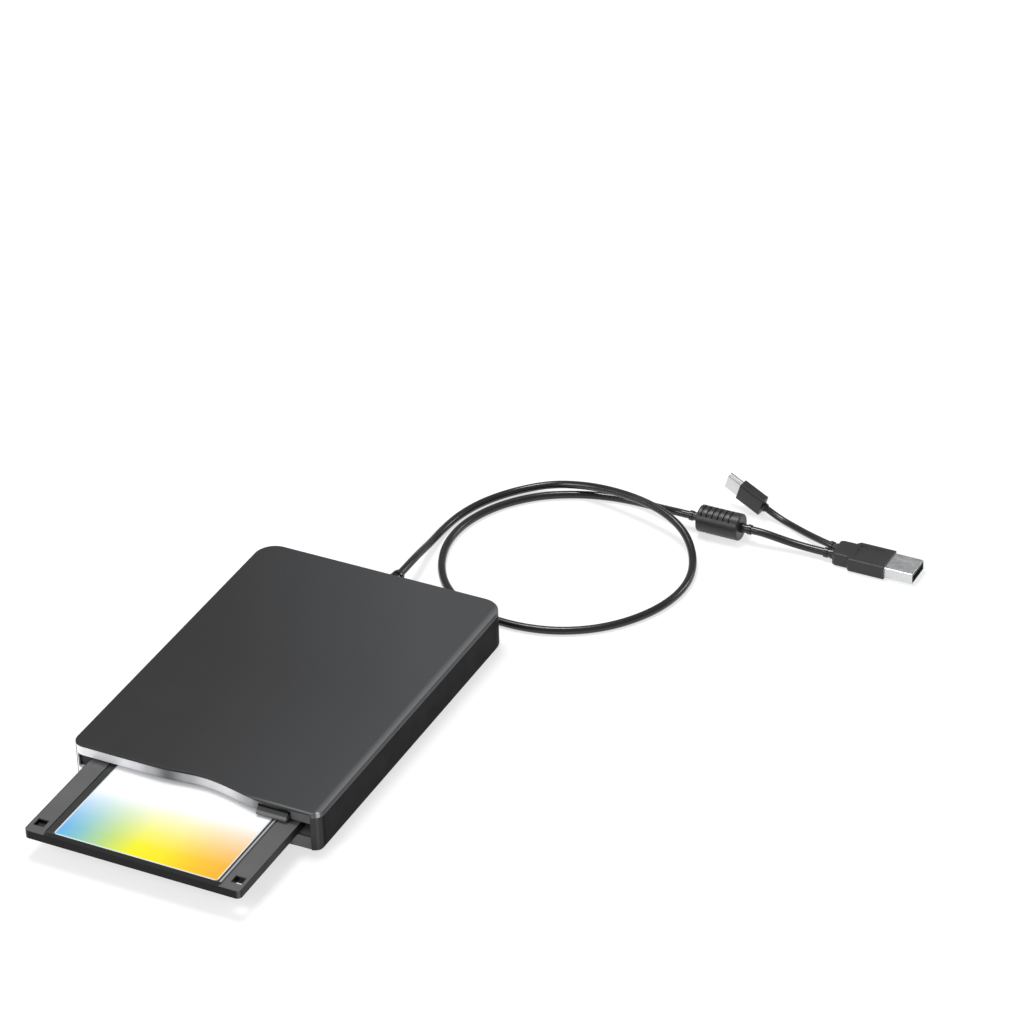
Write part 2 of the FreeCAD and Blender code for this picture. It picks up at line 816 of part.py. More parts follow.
button_left = s.button_x - s.button_width / 2
button_right = s.button_x + s.button_width / 2
button_bottom = disk_top + s.button_gap_below
button_top = button_bottom + s.button_height


def screws():
    parts = []
    seat = underside + s.case_screw_depth
    tip = case_floor + s.case_post_height + s.fixing_reach
    for x, y in case_screw_places:
        parts.append(rod("case_screw_head", "Z", s.fixing_head_radius, s.fixing_head_height,
                         x, y, seat - s.fixing_head_height))
        parts.append(rod("case_screw_shank", "Z", s.fixing_radius, tip - seat, x, y, seat))
    piece(fuse("case_screw_set", *parts), "case_screws")
    parts = []
    tip = underside + s.fixing_cover + 2 * s.part_fit
    for x, y in drive_screw_places:
        parts.append(rod("drive_screw_head", "Z", s.fixing_head_radius, s.fixing_head_height, x, y, deck))
        parts.append(rod("drive_screw_shank", "Z", s.fixing_radius, deck - tip, x, y, tip))
    piece(fuse("drive_screw_set", *parts), "drive_screws")


# ---------------------------------------------------------------------------------------------
# Chassis
# ---------------------------------------------------------------------------------------------

pin_y = [front + s.front_pin_y, holder_back - s.rear_pin_inset]
pin_z = holder_roof - s.pin_radius - s.pin_drop
rod_z = deck + s.rod_height
rod_x = s.rod_spacing / 2
screw_z = deck + s.screw_height
carriage_front = head_y - s.carriage_ahead
carriage_back = carriage_front + s.carriage_depth
rod_lug_back = carriage_front - s.carriage_travel - 5 * s.part_fit
screw_front = chassis_back - s.screw_length
slider_front = chassis_front + s.slider_front_gap
slider_back = slider_front + s.slider_plate_depth
spring_lug_y = slider_back - 5
spring_z = slider_z - 1.0
spring_front = chassis_front + 3


def chassis():
    frame = Body("chassis_frame")
    frame.pad("XY", chassis_z, deck, Rect((-chassis_half, chassis_half), (chassis_front, chassis_back)))
    frame.pad("XY", chassis_z, wall_top,
              Rect((-chassis_half, -chassis_inner), (chassis_front, chassis_back)),
              Rect((chassis_inner, chassis_half), (chassis_front, chassis_back)))
    frame.pad("XY", chassis_z, wall_top,
              Rect((-chassis_half, chassis_half), (chassis_back - s.chassis_sheet, chassis_back)))
    for x in (-rod_x, rod_x):
        frame.pad("XY", chassis_z, rod_z + s.rod_radius + s.rod_lug_wall,
                  Rect((x - 1.8, x + 1.8), (rod_lug_back - s.rod_lug, rod_lug_back)))
    frame.pad("XY", chassis_z, screw_z + s.screw_radius + 0.4,
              Rect((s.screw_x - 2.5, s.screw_x + 2.5), (screw_front - s.screw_lug, screw_front)))
    frame.pad("XY", spring_z - 1.1, spring_z + 1.1,
              Rect((spring_x - 1.1, -chassis_inner), (spring_front - 1.2, spring_front)))
    gap = s.pin_radius + s.pin_clearance
    slots = [Rect((y - gap, y + gap), (pin_z - s.load_drop - gap, pin_z + gap)) for y in pin_y]
    frame.pocket("YZ", -chassis_half - 1, chassis_half + 1, *slots)
    frame.pocket("YZ", -chassis_half - 1, -chassis_inner + 0.1,
                 Rect((spring_lug_y - s.slider_travel - 1.5, spring_lug_y + 1.5),
                      (spring_z - 1.4, wall_top + 1)))
    frame.pocket("XY", chassis_z, deck, *[Disc(x, y, s.fixing_radius + 2 * s.part_fit)
                                          for x, y in drive_screw_places])
    ends = [(-rod_x, s.rod_radius, rod_z), (rod_x, s.rod_radius, rod_z)]
    frame.pocket("XZ", rod_lug_back - s.rod_lug, chassis_back + 1,
                 *[Disc(x, z, radius) for x, radius, z in ends])
    frame.pocket("XZ", screw_front - s.screw_lug - 0.1, chassis_back + 1,
                 Disc(s.screw_x, screw_z, s.screw_radius + s.running_fit))
    half_flex = s.flex_width / 2 + 0.5
    frame.pocket("XZ", chassis_back - s.chassis_sheet - 0.1, chassis_back + 1,
                 Rect((s.flex_x - half_flex, s.flex_x + half_flex), (flex_z - 0.6, flex_z + 0.8)),
                 Rect((-arm_slot, arm_slot), (screw_z + 1, wall_top + 1)))
    frame.piece("drive_chassis")


arm_slot = s.riser_width / 2 + 0.5
flex_z = deck + s.board_sheet + s.connector_height


def top_plate():
    lid = Body("top_plate_sheet")
    lid.pad("XY", wall_top, plate_top, Rect((-chassis_half, chassis_half), (chassis_front, chassis_back)))
    lid.pocket("XY", wall_top, plate_top,
               Rect((-arm_slot, arm_slot), (rod_lug_back - s.rod_lug, chassis_back + 1)),
               Rect((-chassis_inner + 6, -arm_slot - 4), (slider_back + 6, screw_front - 4)),
               Rect((arm_slot + 4, chassis_inner - 6), (slider_back + 6, screw_front - 4)))
    lid.piece("drive_top_plate")


def rods():
    y = rod_lug_back - s.rod_lug
    bars = [rod("guide_rod", "Y", s.rod_radius, chassis_back - y, x, y, rod_z) for x in (-rod_x, rod_x)]
    piece(fuse("guide_rod_pair", *bars), "guide_rods")


def block(name, x, y, width, depth, low, height):
    """A chip, switch or socket centred at a place, standing on a board."""
    return box(name, (x - width / 2, x + width / 2), (y - depth / 2, y + depth / 2), (low, low + height))


def drive_board():
    board = Body("main_board_sheet")
    half = s.drive_board_half
    clear = s.rotor_radius + 1
    near = chassis_front + s.board_front_inset
    far = chassis_back - s.board_rear_inset
    rear = rod_lug_back + s.board_rear_reach
    middle = rod_lug_back - s.board_rear_inset
    flex_half = s.flex_width / 2 + 0.5
    board.pad("XY", deck, deck + s.board_sheet,
              Path([(-half, near), (half, near), (half, far), (s.flex_x - 9, far), (s.flex_x - 9, rear),
                    (14, rear), (14, middle), (-20, middle), (-20, rear), (-half, rear)]))
    board.pocket("XY", deck, deck + s.board_sheet, Disc(0, spindle_y, clear))
    board.piece("drive_main_board")
    top = deck + s.board_sheet
    small = s.small_chip_side
    row = rear - s.chip_inset
    chips = [
        block("drive_chip_large", s.large_chip_x, row - s.large_chip_depth / 2, s.large_chip_width,
              s.large_chip_depth, top, s.chip_height),
        block("drive_chip_small", s.small_chip_x, row - small / 2, small, small, top, s.chip_height),
        block("drive_chip_front", s.front_chip_x, near + s.front_chip_inset, small, small,
              top, s.chip_height),
        block("drive_flex_socket", s.flex_x, chassis_back - s.socket_inset - s.socket_depth / 2,
              2 * flex_half, s.socket_depth, top, s.connector_height)]
    piece(fuse("drive_chips", *chips), "main_board_chips")


def sensors():
    sensor = block("sensor_block", s.sensor_x, carriage_back - s.sensor_inset - s.sensor_depth / 2,
                   s.sensor_width, s.sensor_depth, deck, s.sensor_height)
    piece(sensor, "track_zero_sensor")
    switch_y = front + s.disk_loaded_inset + s.notch_from_trail
    stem_low = deck + s.switch_height
    stem_height = disk_low - s.switch_stem_gap - stem_low
    parts = []
    for x in (s.notch_offset - s.switch_inset, s.switch_inset - s.notch_offset):
        parts.append(block("switch_block", x, switch_y, s.switch_side, s.switch_depth, deck, s.switch_height))
        parts.append(rod("switch_stem", "Z", s.switch_stem_radius, stem_height, x, switch_y, stem_low))
    piece(fuse("switch_pair", *parts), "disk_switches")


def stepper():
    can = rod("stepper_can", "Y", s.stepper_radius, s.stepper_length, s.screw_x, chassis_back, screw_z)
    bore = rod("stepper_bore", "Y", s.screw_radius + s.running_fit, 3, s.screw_x, chassis_back - 0.1, screw_z)
    piece(cut("stepper", can, bore), "stepper_motor")
    screw = rod("screw", "Y", s.screw_radius, s.screw_length + s.screw_lug + 2.5, s.screw_x,
                screw_front - s.screw_lug, screw_z)
    piece(screw, "lead_screw")


# ---------------------------------------------------------------------------------------------
# Spindle motor
# ---------------------------------------------------------------------------------------------

def spindle():
    plate = deck + s.rotor_height
    top = plate + s.rotor_sheet
    face = top + s.chuck_height
    rim_low = plate - s.rotor_rim_drop
    rim_inner = s.rotor_radius - s.rotor_rim
    rotor = Body("rotor_cup")
    rotor.revolve(Path([(s.shaft_radius, plate), (rim_inner, plate), (rim_inner, rim_low),
                        (s.rotor_radius, rim_low), (s.rotor_radius, top), (s.chuck_radius, top),
                        (s.chuck_radius, face), (s.shaft_radius, face)]))
    rotor.pad("XY", face - 0.1, face + s.drive_pin_height, Disc(0, s.drive_pin_offset, s.drive_pin_radius))
    put(rotor.body, 0, spindle_y, 0)
    rotor.piece("spindle_rotor")
    outer = rod("magnet_outer", "Z", rim_inner, plate - rim_low, 0, spindle_y, rim_low)
    inner = rod("magnet_inner", "Z", rim_inner - s.magnet_width, plate - rim_low + 1,
                0, spindle_y, rim_low - 0.5)
    piece(cut("magnet", outer, inner), "rotor_magnet")
    shaft_low = deck + s.part_fit
    piece(rod("shaft", "Z", s.shaft_radius, face + s.shaft_reach - shaft_low, 0, spindle_y, shaft_low),
          "spindle_shaft")
    sleeve = rod("sleeve", "Z", s.bearing_radius, s.bearing_height, 0, spindle_y, deck)
    bore = rod("sleeve_bore", "Z", s.shaft_radius + s.running_fit, s.bearing_height + 1,
               0, spindle_y, deck - 0.5)
    piece(cut("bearing", sleeve, bore), "spindle_bearing")
    ring = rod("stator_ring", "Z", s.stator_outer, s.stator_height, 0, spindle_y, deck)
    hole = rod("stator_hole", "Z", s.stator_inner, s.stator_height + 1, 0, spindle_y, deck - 0.5)
    piece(cut("stator", ring, hole), "spindle_stator")


# ---------------------------------------------------------------------------------------------
# Loading mechanism
# ---------------------------------------------------------------------------------------------

def slider():
    plate = Body("slider_sheet")
    plate.pad("XY", slider_z, slider_top, Rect((-slider_half, slider_half), (slider_front, slider_back)))
    low = pin_z - s.load_drop - s.pin_radius - s.pin_clearance - 0.8
    flange_back_y = pin_y[1] + s.slider_flange_reach
    plate.pad("XY", low, slider_top,
              Rect((-slider_half, -slider_inner), (slider_front, flange_back_y)),
              Rect((slider_inner, slider_half), (slider_front, flange_back_y)))
    stem = s.stem_width / 2
    plate.pad("XY", slider_z, slider_top,
              Rect((s.button_x - stem, s.button_x + stem), (slider_front - s.stem_depth, slider_front + 1)))
    plate.pad("XY", spring_z - 0.6, slider_top,
              Rect((spring_x - 0.6, -slider_inner), (spring_lug_y - 0.6, spring_lug_y + 0.6)))
    gap = s.pin_radius + s.pin_clearance
    slots = []
    for y in pin_y:
        far = y + s.slider_travel
        low_z = pin_z - s.load_drop
        slots.append(Path([(y - gap, pin_z - gap), (far - gap, low_z - gap), (far + gap, low_z - gap),
                           (far + gap, low_z + gap), (y + gap, pin_z + gap), (y - gap, pin_z + gap)]))
    plate.pocket("YZ", -slider_half - 1, slider_half + 1, *slots)
    plate.piece("slider_plate")


def button():
    key = Body("button_key")
    face = front + s.wave_peak + s.part_fit
    key.pad("YZ", button_left, button_right,
            Path([(face - s.button_proud, button_bottom), (flange_back - 0.3, button_bottom),
                  (flange_back - 0.3, button_top), (face, button_top),
                  (face - s.button_proud, button_bottom + 0.8)]))
    stem = s.stem_width / 2 + s.part_fit
    key.pocket("XZ", slider_front - s.stem_depth, flange_back,
               Rect((s.button_x - stem, s.button_x + stem), (slider_z - s.part_fit, slider_top + s.part_fit)))
    key.piece("eject_button")


def spring():
    """The pull spring between the chassis lug and the slider lug, of square wire."""
    half = s.spring_wire.value / 2
    play = half + s.running_fit.value
    length = spring_lug_y.value - 0.6 - spring_front.value - 2 * play
    middle = s.spring_radius.value - half
    helix = Part.makeHelix(length / s.spring_turns.value, length, middle)
    corners = [Vector(middle + half * across, 0, half * along)
               for across, along in ((-1, -1), (1, -1), (1, 1), (-1, 1), (-1, -1))]
    coil = doc.addObject("Part::Feature", "spring_coil")
    coil.Shape = Part.Wire(helix.Edges).makePipeShell([Part.makePolygon(corners)], True, True)
    coil.Placement = Placement(Vector(spring_x.value, spring_front.value + play, spring_z.value),
                               Rotation(Vector(1, 0, 0), -90))
    piece(coil, "eject_spring")


lever_y = loaded_lead + s.lever_gap


def holder():
    tray = Body("holder_tray")
    rear = holder_back
    window = s.holder_window_width / 2
    tray.pad("XY", holder_roof, holder_top, Rect((-holder_half, holder_half), (chassis_front, rear)))
    tray.pad("XY", holder_roof, holder_top,
             Rect((window, holder_half), (rear - 1, rear + s.holder_lever_depth)))
    tray.pad("XY", lip_bottom, holder_top,
             Rect((-holder_half, -holder_inner), (chassis_front, rear)),
             Rect((holder_inner, holder_half), (chassis_front, rear)))
    lip = holder_half - s.lip_width
    tray.pad("XY", lip_bottom, lip_top,
             Rect((-holder_half, -lip), (chassis_front, rear)),
             Rect((lip, holder_half), (chassis_front, rear)))
    tray.pocket("XY", holder_roof, holder_top,
                Rect((-window, window), (rear - s.holder_window_length, rear + 1)))
    reach = chassis_half - 0.2
    pins = [Disc(y, pin_z, s.pin_radius) for y in pin_y]
    tray.pad("YZ", holder_half - 0.1, reach, *pins)
    tray.pad("YZ", -reach, -holder_half + 0.1, *pins)
    tray.pocket("XY", holder_roof, holder_top,
                Disc(s.lever_x, lever_y, s.lever_pivot_radius + s.running_fit))
    half_slot = s.lever_pin_radius + s.pin_clearance
    sector = doc.addObject("Part::Cylinder", "lever_slot_outer")
    bind(sector, Radius=s.lever_radius + half_slot, Height=s.holder_sheet + 2, Angle=2 * s.lever_swing + 12)
    sector.Placement = Placement(Vector(), Rotation(Vector(0, 0, 1), 180 - 1))
    put(sector, s.lever_x, lever_y, holder_roof - 1)
    core = rod("lever_slot_inner", "Z", s.lever_radius - half_slot, s.holder_sheet + 4,
               s.lever_x, lever_y, holder_roof - 2)
    slot = cut("lever_slot", sector, core)
    piece(cut("holder_slotted", tray.body, slot), "disk_holder")


def lever():
    arm = Body("lever_arm")
    half = s.lever_width / 2
    arm.pad("XY", 0, s.lever_sheet, Rect((-s.lever_radius, 0), (-half, half)))
    arm.pad("XY", 0, s.lever_sheet, Disc(0, 0, half))
    arm.pad("XY", 0, s.lever_sheet, Disc(-s.lever_radius, 0, half - 0.5))
    arm.pad("XY", -s.lever_play - s.holder_sheet, 0.1, Disc(0, 0, s.lever_pivot_radius))
    arm.pad("XY", -s.lever_pin_depth, 0.1, Disc(-s.lever_radius, 0, s.lever_pin_radius))
    arm.body.Placement = Placement(Vector(), Rotation(Vector(0, 0, 1), s.lever_angle.value))
    bind(arm.body, Placement__Rotation__Angle=s.lever_angle)
    put(arm.body, s.lever_x, lever_y, holder_top + s.lever_play)
    arm.piece("shutter_lever")


# ---------------------------------------------------------------------------------------------
# Disk
# ---------------------------------------------------------------------------------------------

split = (disk_bottom + disk_top) / 2
cavity_low = disk_bottom + s.disk_plate
cavity_high = disk_top - s.disk_plate
cavity_radius = s.media_radius + s.cavity_gap
notch_y = trail + s.notch_from_trail
window_near = lead - s.head_window_inset - s.head_window_length
window_far = lead - s.head_window_inset
shell_window = s.head_window_width / 2
shutter_right = shell_window + s.shutter_overhang
shutter_left = shutter_right - s.shutter_width


def shell_outline(shell, low, high):
    shell.pad("XY", low, high, Rect((-disk_half, disk_half), (trail, lead), s.disk_corner_radius))
    shell.pocket("XY", low, high,
                 Path([(disk_half - s.disk_chamfer, lead + 0.5), (disk_half + 0.5, lead + 0.5),
                       (disk_half + 0.5, lead - s.disk_chamfer)]))


def through_holes(low, high, shell):
    half_w = s.notch_width / 2
    half_l = s.notch_length / 2
    shell.pocket("XY", low, high,
                 Rect((-shell_window, shell_window), (window_near, window_far)),
                 Rect((s.notch_offset - half_w, s.notch_offset + half_w),
                      (notch_y - half_l, notch_y + half_l)))


def shutter_bed(shell, low, high):
    """The recess in one face that the shutter slides in."""
    half = s.shutter_travel / 2 + s.part_fit * 3
    shell.pocket("XY", low, high, Rect((shutter_left - half, shutter_right + half),
                                       (lead - s.shutter_length - 0.5, lead + 1)))


def disk_top_shell():
    shell = Body("disk_top")
    shell_outline(shell, split, disk_top)
    shell.pocket("XY", split, cavity_high, Disc(0, hub_y, cavity_radius))
    through_holes(split, disk_top, shell)
    half_w = s.notch_width / 2
    half_l = s.notch_length / 2
    shell.pocket("XY", split, disk_top,
                 Rect((-s.notch_offset - half_w, -s.notch_offset + half_w),
                      (notch_y - half_l, notch_y + half_l)))
    shutter_bed(shell, disk_top - s.shutter_recess, disk_top)
    half = s.shutter_travel / 2 + s.part_fit * 3
    shell.pocket("XY", split, disk_top,
                 Rect((shutter_left - half, shutter_right + half), (lead - s.shutter_sheet - 0.1, lead + 1)))
    left = s.label_offset - s.label_width / 2 - s.part_fit
    right = s.label_offset + s.label_width / 2 + s.part_fit
    shell.pocket("XY", disk_top - s.label_recess, disk_top,
                 Rect((left, right), (trail + s.label_margin - s.part_fit,
                                      trail + s.label_margin + s.label_length + s.part_fit), as_size(1.6)))
    groove = s.rib_line_width / 2
    lines = [Rect((x - groove, x + groove), (trail + 1.2, lead - s.shutter_length - 4))
             for x in (-s.rib_line_offset, s.rib_line_offset)]
    shell.pocket("XY", disk_top - s.rib_line_depth, disk_top, *lines)
    shell.piece("disk_top_shell")


def disk_bottom_shell():
    shell = Body("disk_bottom")
    shell_outline(shell, disk_bottom, split)
    shell.pocket("XY", cavity_low, split, Disc(0, hub_y, cavity_radius))
    shell.pocket("XY", disk_bottom, cavity_low, Disc(0, hub_y, s.hub_opening_radius))
    through_holes(disk_bottom, split, shell)
    half_w = s.notch_width / 2
    half_l = s.notch_length / 2
    shell.pocket("XY", disk_bottom, split,
                 Rect((-s.notch_offset - half_w, -s.notch_offset + half_w),
                      (notch_y - half_l, notch_y + half_l + s.tab_travel)))
    rail = half_w + 0.3
    shell.pocket("XY", disk_bottom + 0.5, split,
                 Rect((-s.notch_offset - rail, -s.notch_offset + rail),
                      (notch_y - half_l - 0.6, notch_y - half_l - 0.4 + s.tab_length + s.tab_travel)))
    shutter_bed(shell, disk_bottom, disk_bottom + s.shutter_recess)
    half = s.shutter_travel / 2 + s.part_fit * 3
    shell.pocket("XY", disk_bottom, split,
                 Rect((shutter_left - half, shutter_right + half), (lead - s.shutter_sheet - 0.1, lead + 1)))
    shell.piece("disk_bottom_shell")


def write_tab():
    half_w = s.notch_width / 2
    start = notch_y - s.notch_length / 2 - 0.5
    tab = Body("write_tab")
    tab.pad("XY", disk_bottom + 0.6, split - 0.1,
            Rect((-s.notch_offset - half_w - 0.2, -s.notch_offset + half_w + 0.2),
                 (start, start + s.tab_length)))
    tab.pad("XY", disk_bottom + 0.15, disk_bottom + 0.7,
            Rect((-s.notch_offset - half_w + 0.3, -s.notch_offset + half_w - 0.3),
                 (start + 0.8, start + s.tab_length - 0.8)))
    tab.piece("write_protect_tab")


def disk_label():
    left = s.label_offset - s.label_width / 2
    right = s.label_offset + s.label_width / 2
    low = disk_top - s.label_recess
    label = Body("label_sheet")
    label.pad("XY", low, low + s.label_thickness,
              Rect((left, right), (trail + s.label_margin, trail + s.label_margin + s.label_length),
                   as_size(1.5)))
    label.piece("disk_label")


def liners():
    for label, low, hole in (("lower_liner", cavity_low, s.hub_opening_radius + 0.3),
                             ("upper_liner", cavity_high - s.liner_thickness, s.hub_radius - 1)):
        sheet = Body(f"{label}_sheet")
        sheet.pad("XY", low, low + s.liner_thickness, Disc(0, 0, s.media_radius), Disc(0, 0, hole))
        sheet.pocket("XY", low, low + s.liner_thickness,
                     Rect((-shell_window, shell_window), (window_near - hub_y, window_far - hub_y + 2)))
        put(sheet.body, 0, hub_y, 0)
        sheet.piece(label)


def media():
    middle = split
    half = s.media_thickness / 2
    disc = Body("media_sheet")
    disc.pad("XY", middle - half, middle + half, Disc(0, 0, s.media_radius), Disc(0, 0, s.hub_radius - 0.4))
    put(disc.body, 0, hub_y, 0)
    disc.piece("media_disc")
    low = disk_bottom + s.hub_inset
    flange = middle - half
    wall = s.hub_radius - s.hub_sheet
    hub = Body("hub_cup")
    hub.revolve(Path([(0, low), (s.hub_radius, low), (s.hub_radius, flange - 0.2),
                      (s.hub_flange_radius, flange - 0.2), (s.hub_flange_radius, flange), (wall, flange),
                      (wall, low + s.hub_sheet), (0, low + s.hub_sheet)]))
    square = s.hub_square / 2
    slot = s.drive_slot_width / 2
    reach = s.drive_slot_depth / 2
    hub.pocket("XY", low - 0.1, low + s.hub_sheet + 0.1,
               Rect((-square, square), (-square, square)),
               Rect((-slot, slot), (s.drive_pin_offset - reach, s.drive_pin_offset + reach)))
    put(hub.body, 0, hub_y, 0)
    hub.piece("media_hub")


def shutter():
    slack = 0.02
    plate = Body("shutter_sheet")
    edge = lead - 0.05
    plate.pad("XY", disk_bottom + slack, disk_top - slack,
              Rect((shutter_left, shutter_right), (lead - s.shutter_length, edge)))
    plate.pocket("XY", disk_bottom + slack + s.shutter_sheet, disk_top - slack - s.shutter_sheet,
                 Rect((shutter_left - 1, shutter_right + 1),
                      (lead - s.shutter_length - 1, edge - s.shutter_sheet)))
    middle = s.shutter_travel / 2
    plate.pocket("XY", disk_bottom, disk_top,
                 Rect((middle - shell_window, middle + shell_window), (window_near, window_far)))
    plate.piece("disk_shutter")


# ---------------------------------------------------------------------------------------------
# Heads
# ---------------------------------------------------------------------------------------------

carriage_low = deck + s.carriage_lift
carriage_top = carriage_low + s.carriage_height
pivot_y = carriage_back - s.riser_depth + 2.2
media_low = split - s.load_drop - s.media_thickness / 2
pivot_z = media_low + s.media_thickness + 2.5


def carriage():
    half = s.carriage_width / 2
    body = Body("carriage_block")
    body.pad("XY", carriage_low, carriage_top, Rect((-half, half), (carriage_front, carriage_back)))
    body.pad("XY", carriage_low, carriage_top - 0.1,
             Rect((s.screw_x - 2.5, -half + 1), (carriage_back - 4.5, carriage_back - 1)))
    riser = s.riser_width / 2
    riser_front = carriage_back - s.riser_depth
    body.pad("XY", carriage_top - 0.1, carriage_top + s.riser_height,
             Rect((-riser, riser), (riser_front, carriage_back)))
    slot = s.arm_width / 2 + s.pin_clearance
    body.pad("XY", carriage_top, pivot_z + s.arm_pin_radius + 0.6,
             Rect((-riser, -slot), (riser_front, carriage_back - 0.6)),
             Rect((slot, riser), (riser_front, carriage_back - 0.6)))
    body.pocket("XZ", carriage_front - 1, carriage_back + 1,
                *[Disc(x, rod_z, s.rod_radius + s.running_fit) for x in (-rod_x, rod_x)])
    body.pocket("YZ", -riser - 1, riser + 1, Disc(pivot_y, pivot_z, s.arm_pin_radius + s.running_fit))
    body.piece("head_carriage")
    half_w = s.head_width / 2
    half_l = s.head_length / 2
    head = box("lower_head_block", (-half_w, half_w), (head_y - half_l, head_y + half_l),
               (carriage_top, media_low - s.head_gap))
    piece(head, "lower_head")


def upper_arm():
    half = s.arm_width / 2
    sheet = s.arm_sheet / 2
    arm = Body("arm_sheet")
    arm.pad("XY", -sheet, sheet, Rect((-half, half), (-s.arm_length, 0)))
    arm.pocket("XY", -sheet, sheet, Rect((-half + 2, half - 2), (-s.arm_length + 8, -5)))
    arm.pad("YZ", -half, half, Disc(0, 0, s.arm_barrel_radius))
    arm.pad("YZ", -s.riser_width / 2, s.riser_width / 2, Disc(0, 0, s.arm_pin_radius))
    half_w = s.head_width / 2
    half_l = s.head_length / 2
    head = Body("upper_head_block")
    local_y = head_y - pivot_y
    local_low = media_low + s.media_thickness + s.head_gap - pivot_z
    head.pad("XY", local_low, -sheet, Rect((-half_w, half_w), (local_y - half_l, local_y + half_l)))
    for part, label in ((arm, "upper_head_arm"), (head, "upper_head")):
        part.body.Placement = Placement(Vector(), Rotation(Vector(1, 0, 0), -s.arm_lift_angle.value))
        put(part.body, 0, pivot_y, pivot_z)
        part.piece(label)


# ---------------------------------------------------------------------------------------------
# Interface board
# ---------------------------------------------------------------------------------------------

def controller_board():
    low = case_floor + s.board_height
    top = low + s.board_sheet + 0.2
    board = Body("controller_sheet")
    board.pad("XY", low, top, Rect((-board_half, board_half), (board_front, board_back), as_size(2.0)))
    board.piece("usb_controller_board")
    flex_half = s.flex_width / 2 + 0.5
    chips = [
        box("controller_chip", (-6, 4), (board_front + 1, board_front + 9), (top, top + s.chip_height)),
        box("controller_crystal", (-16, -8), (board_front + 3, board_front + 6), (top, top + 2.2)),
        box("cable_socket", (9, 17), (board_back - 5, board_back - 0.5), (top, top + 3.6)),
        box("controller_flex_socket", (s.flex_x - flex_half, s.flex_x + flex_half),
            (board_front + 1, board_front + 5), (top, flex_z))]
    piece(fuse("controller_parts", *chips), "controller_chips")
    half_flex = s.flex_width / 2
    strip = box("flex_strip", (s.flex_x - half_flex, s.flex_x + half_flex),
                (chassis_back - 6, board_front + 4), (flex_z, flex_z + s.flex_sheet))
    piece(strip, "ribbon_cable")


# ---------------------------------------------------------------------------------------------
# Cable and plugs
# ---------------------------------------------------------------------------------------------

# Centre-line corners of the cords, from the fixed end outwards. The main cable leaves the tip of the
# strain relief, and all of them are measured from that tip in plan and from the floor in height.
exit_y = back + s.relief_length
EXIT_Z = s.gland_height.value
CABLE_ROUTE = (
    (0.0, 0.0, EXIT_Z), (0.0, 10.0, EXIT_Z), (-1.5, 21.0, 6.2), (-3.2, 33.0, 3.2), (-4.3, 45.5, 1.65),
    (-2.9, 58.0, 1.65), (1.6, 70.8, 1.65), (10.0, 82.8, 1.8), (22.2, 90.8, 3.4), (36.8, 91.6, 6.0),
    (50.5, 89.4, 8.2), (64.0, 86.4, 9.2), (76.8, 82.4, 8.7), (87.6, 76.6, 6.4), (95.5, 67.6, 3.6),
    (100.4, 56.0, 1.9), (101.5, 43.0, 1.65), (98.6, 29.4, 1.65), (91.6, 16.4, 1.65), (81.0, 5.3, 1.65),
    (66.5, -2.3, 1.65), (49.5, -4.8, 1.65), (32.5, -2.3, 1.65), (17.6, 6.6, 1.65), (7.0, 20.5, 1.65),
    (1.2, 37.5, 1.65), (1.7, 54.5, 1.65), (8.4, 70.5, 1.65), (20.0, 83.2, 1.65), (34.5, 90.8, 1.65),
    (47.0, 94.1, 1.65), (57.5, 94.9, 1.7), (65.5, 93.3, 2.7), (72.3, 90.6, 4.6), (78.4, 88.8, 6.0),
    (84.5, 88.8, 6.0))
LEAD_ROUTE = ((111.3, 88.8, 6.0), (116.8, 88.8, 6.0), (126.0, 90.0, 3.9), (134.5, 90.4, 2.95),
              (142.2, 90.4, 2.95))
PIGTAIL_ROUTE = ((142.4, 96.0, 2.95), (137.1, 97.4, 2.95), (129.3, 101.0, 2.1), (121.5, 104.9, 1.4),
                 (114.7, 107.3, 1.8), (108.9, 108.3, 4.1))


def spot(place):
    """A route's corner in the frame of the drive."""
    return Vector(*place) + Vector(0, exit_y.value, 0)


def tube(label, route, diameter):
    """A round cord along straight runs joined by tangent arcs."""
    points = [spot(place) for place in route]
    runs = [(after - before).Length for before, after in zip(points, points[1:])]
    edges = []
    radii = []
    start = points[0]
    for number in range(1, len(points) - 1):
        before = (points[number] - points[number - 1]).normalize()
        after = (points[number + 1] - points[number]).normalize()
        turn = before.getAngle(after)
        setback = 0.45 * min(runs[number - 1], runs[number])
        radius = setback / math.tan(turn / 2)
        radii.append(radius)
        enter = points[number] - before * setback
        leave = points[number] + after * setback
        inward = (after - before).normalize()
        middle = points[number] + inward * (radius / math.cos(turn / 2) - radius)
        edges.append(Part.LineSegment(start, enter).toShape())
        edges.append(Part.Arc(enter, middle, leave).toShape())
        start = leave
    edges.append(Part.LineSegment(start, points[-1]).toShape())
    path = Part.Wire(edges)
    heading = points[1] - points[0]
    section = Part.Wire(Part.Circle(points[0], heading, diameter / 2).toShape())
    cord = doc.addObject("Part::Feature", f"{label}_tube")
    cord.Shape = path.makePipeShell([section], True, False)
    expected = math.pi * diameter ** 2 / 4 * path.Length
    print(f"{label}: length {path.Length:.1f}, smallest radius {min(radii):.1f}, "
          f"volume ratio {cord.Shape.Volume / expected:.4f}")
    return piece(cord, label)


RELIEF_RINGS = 4


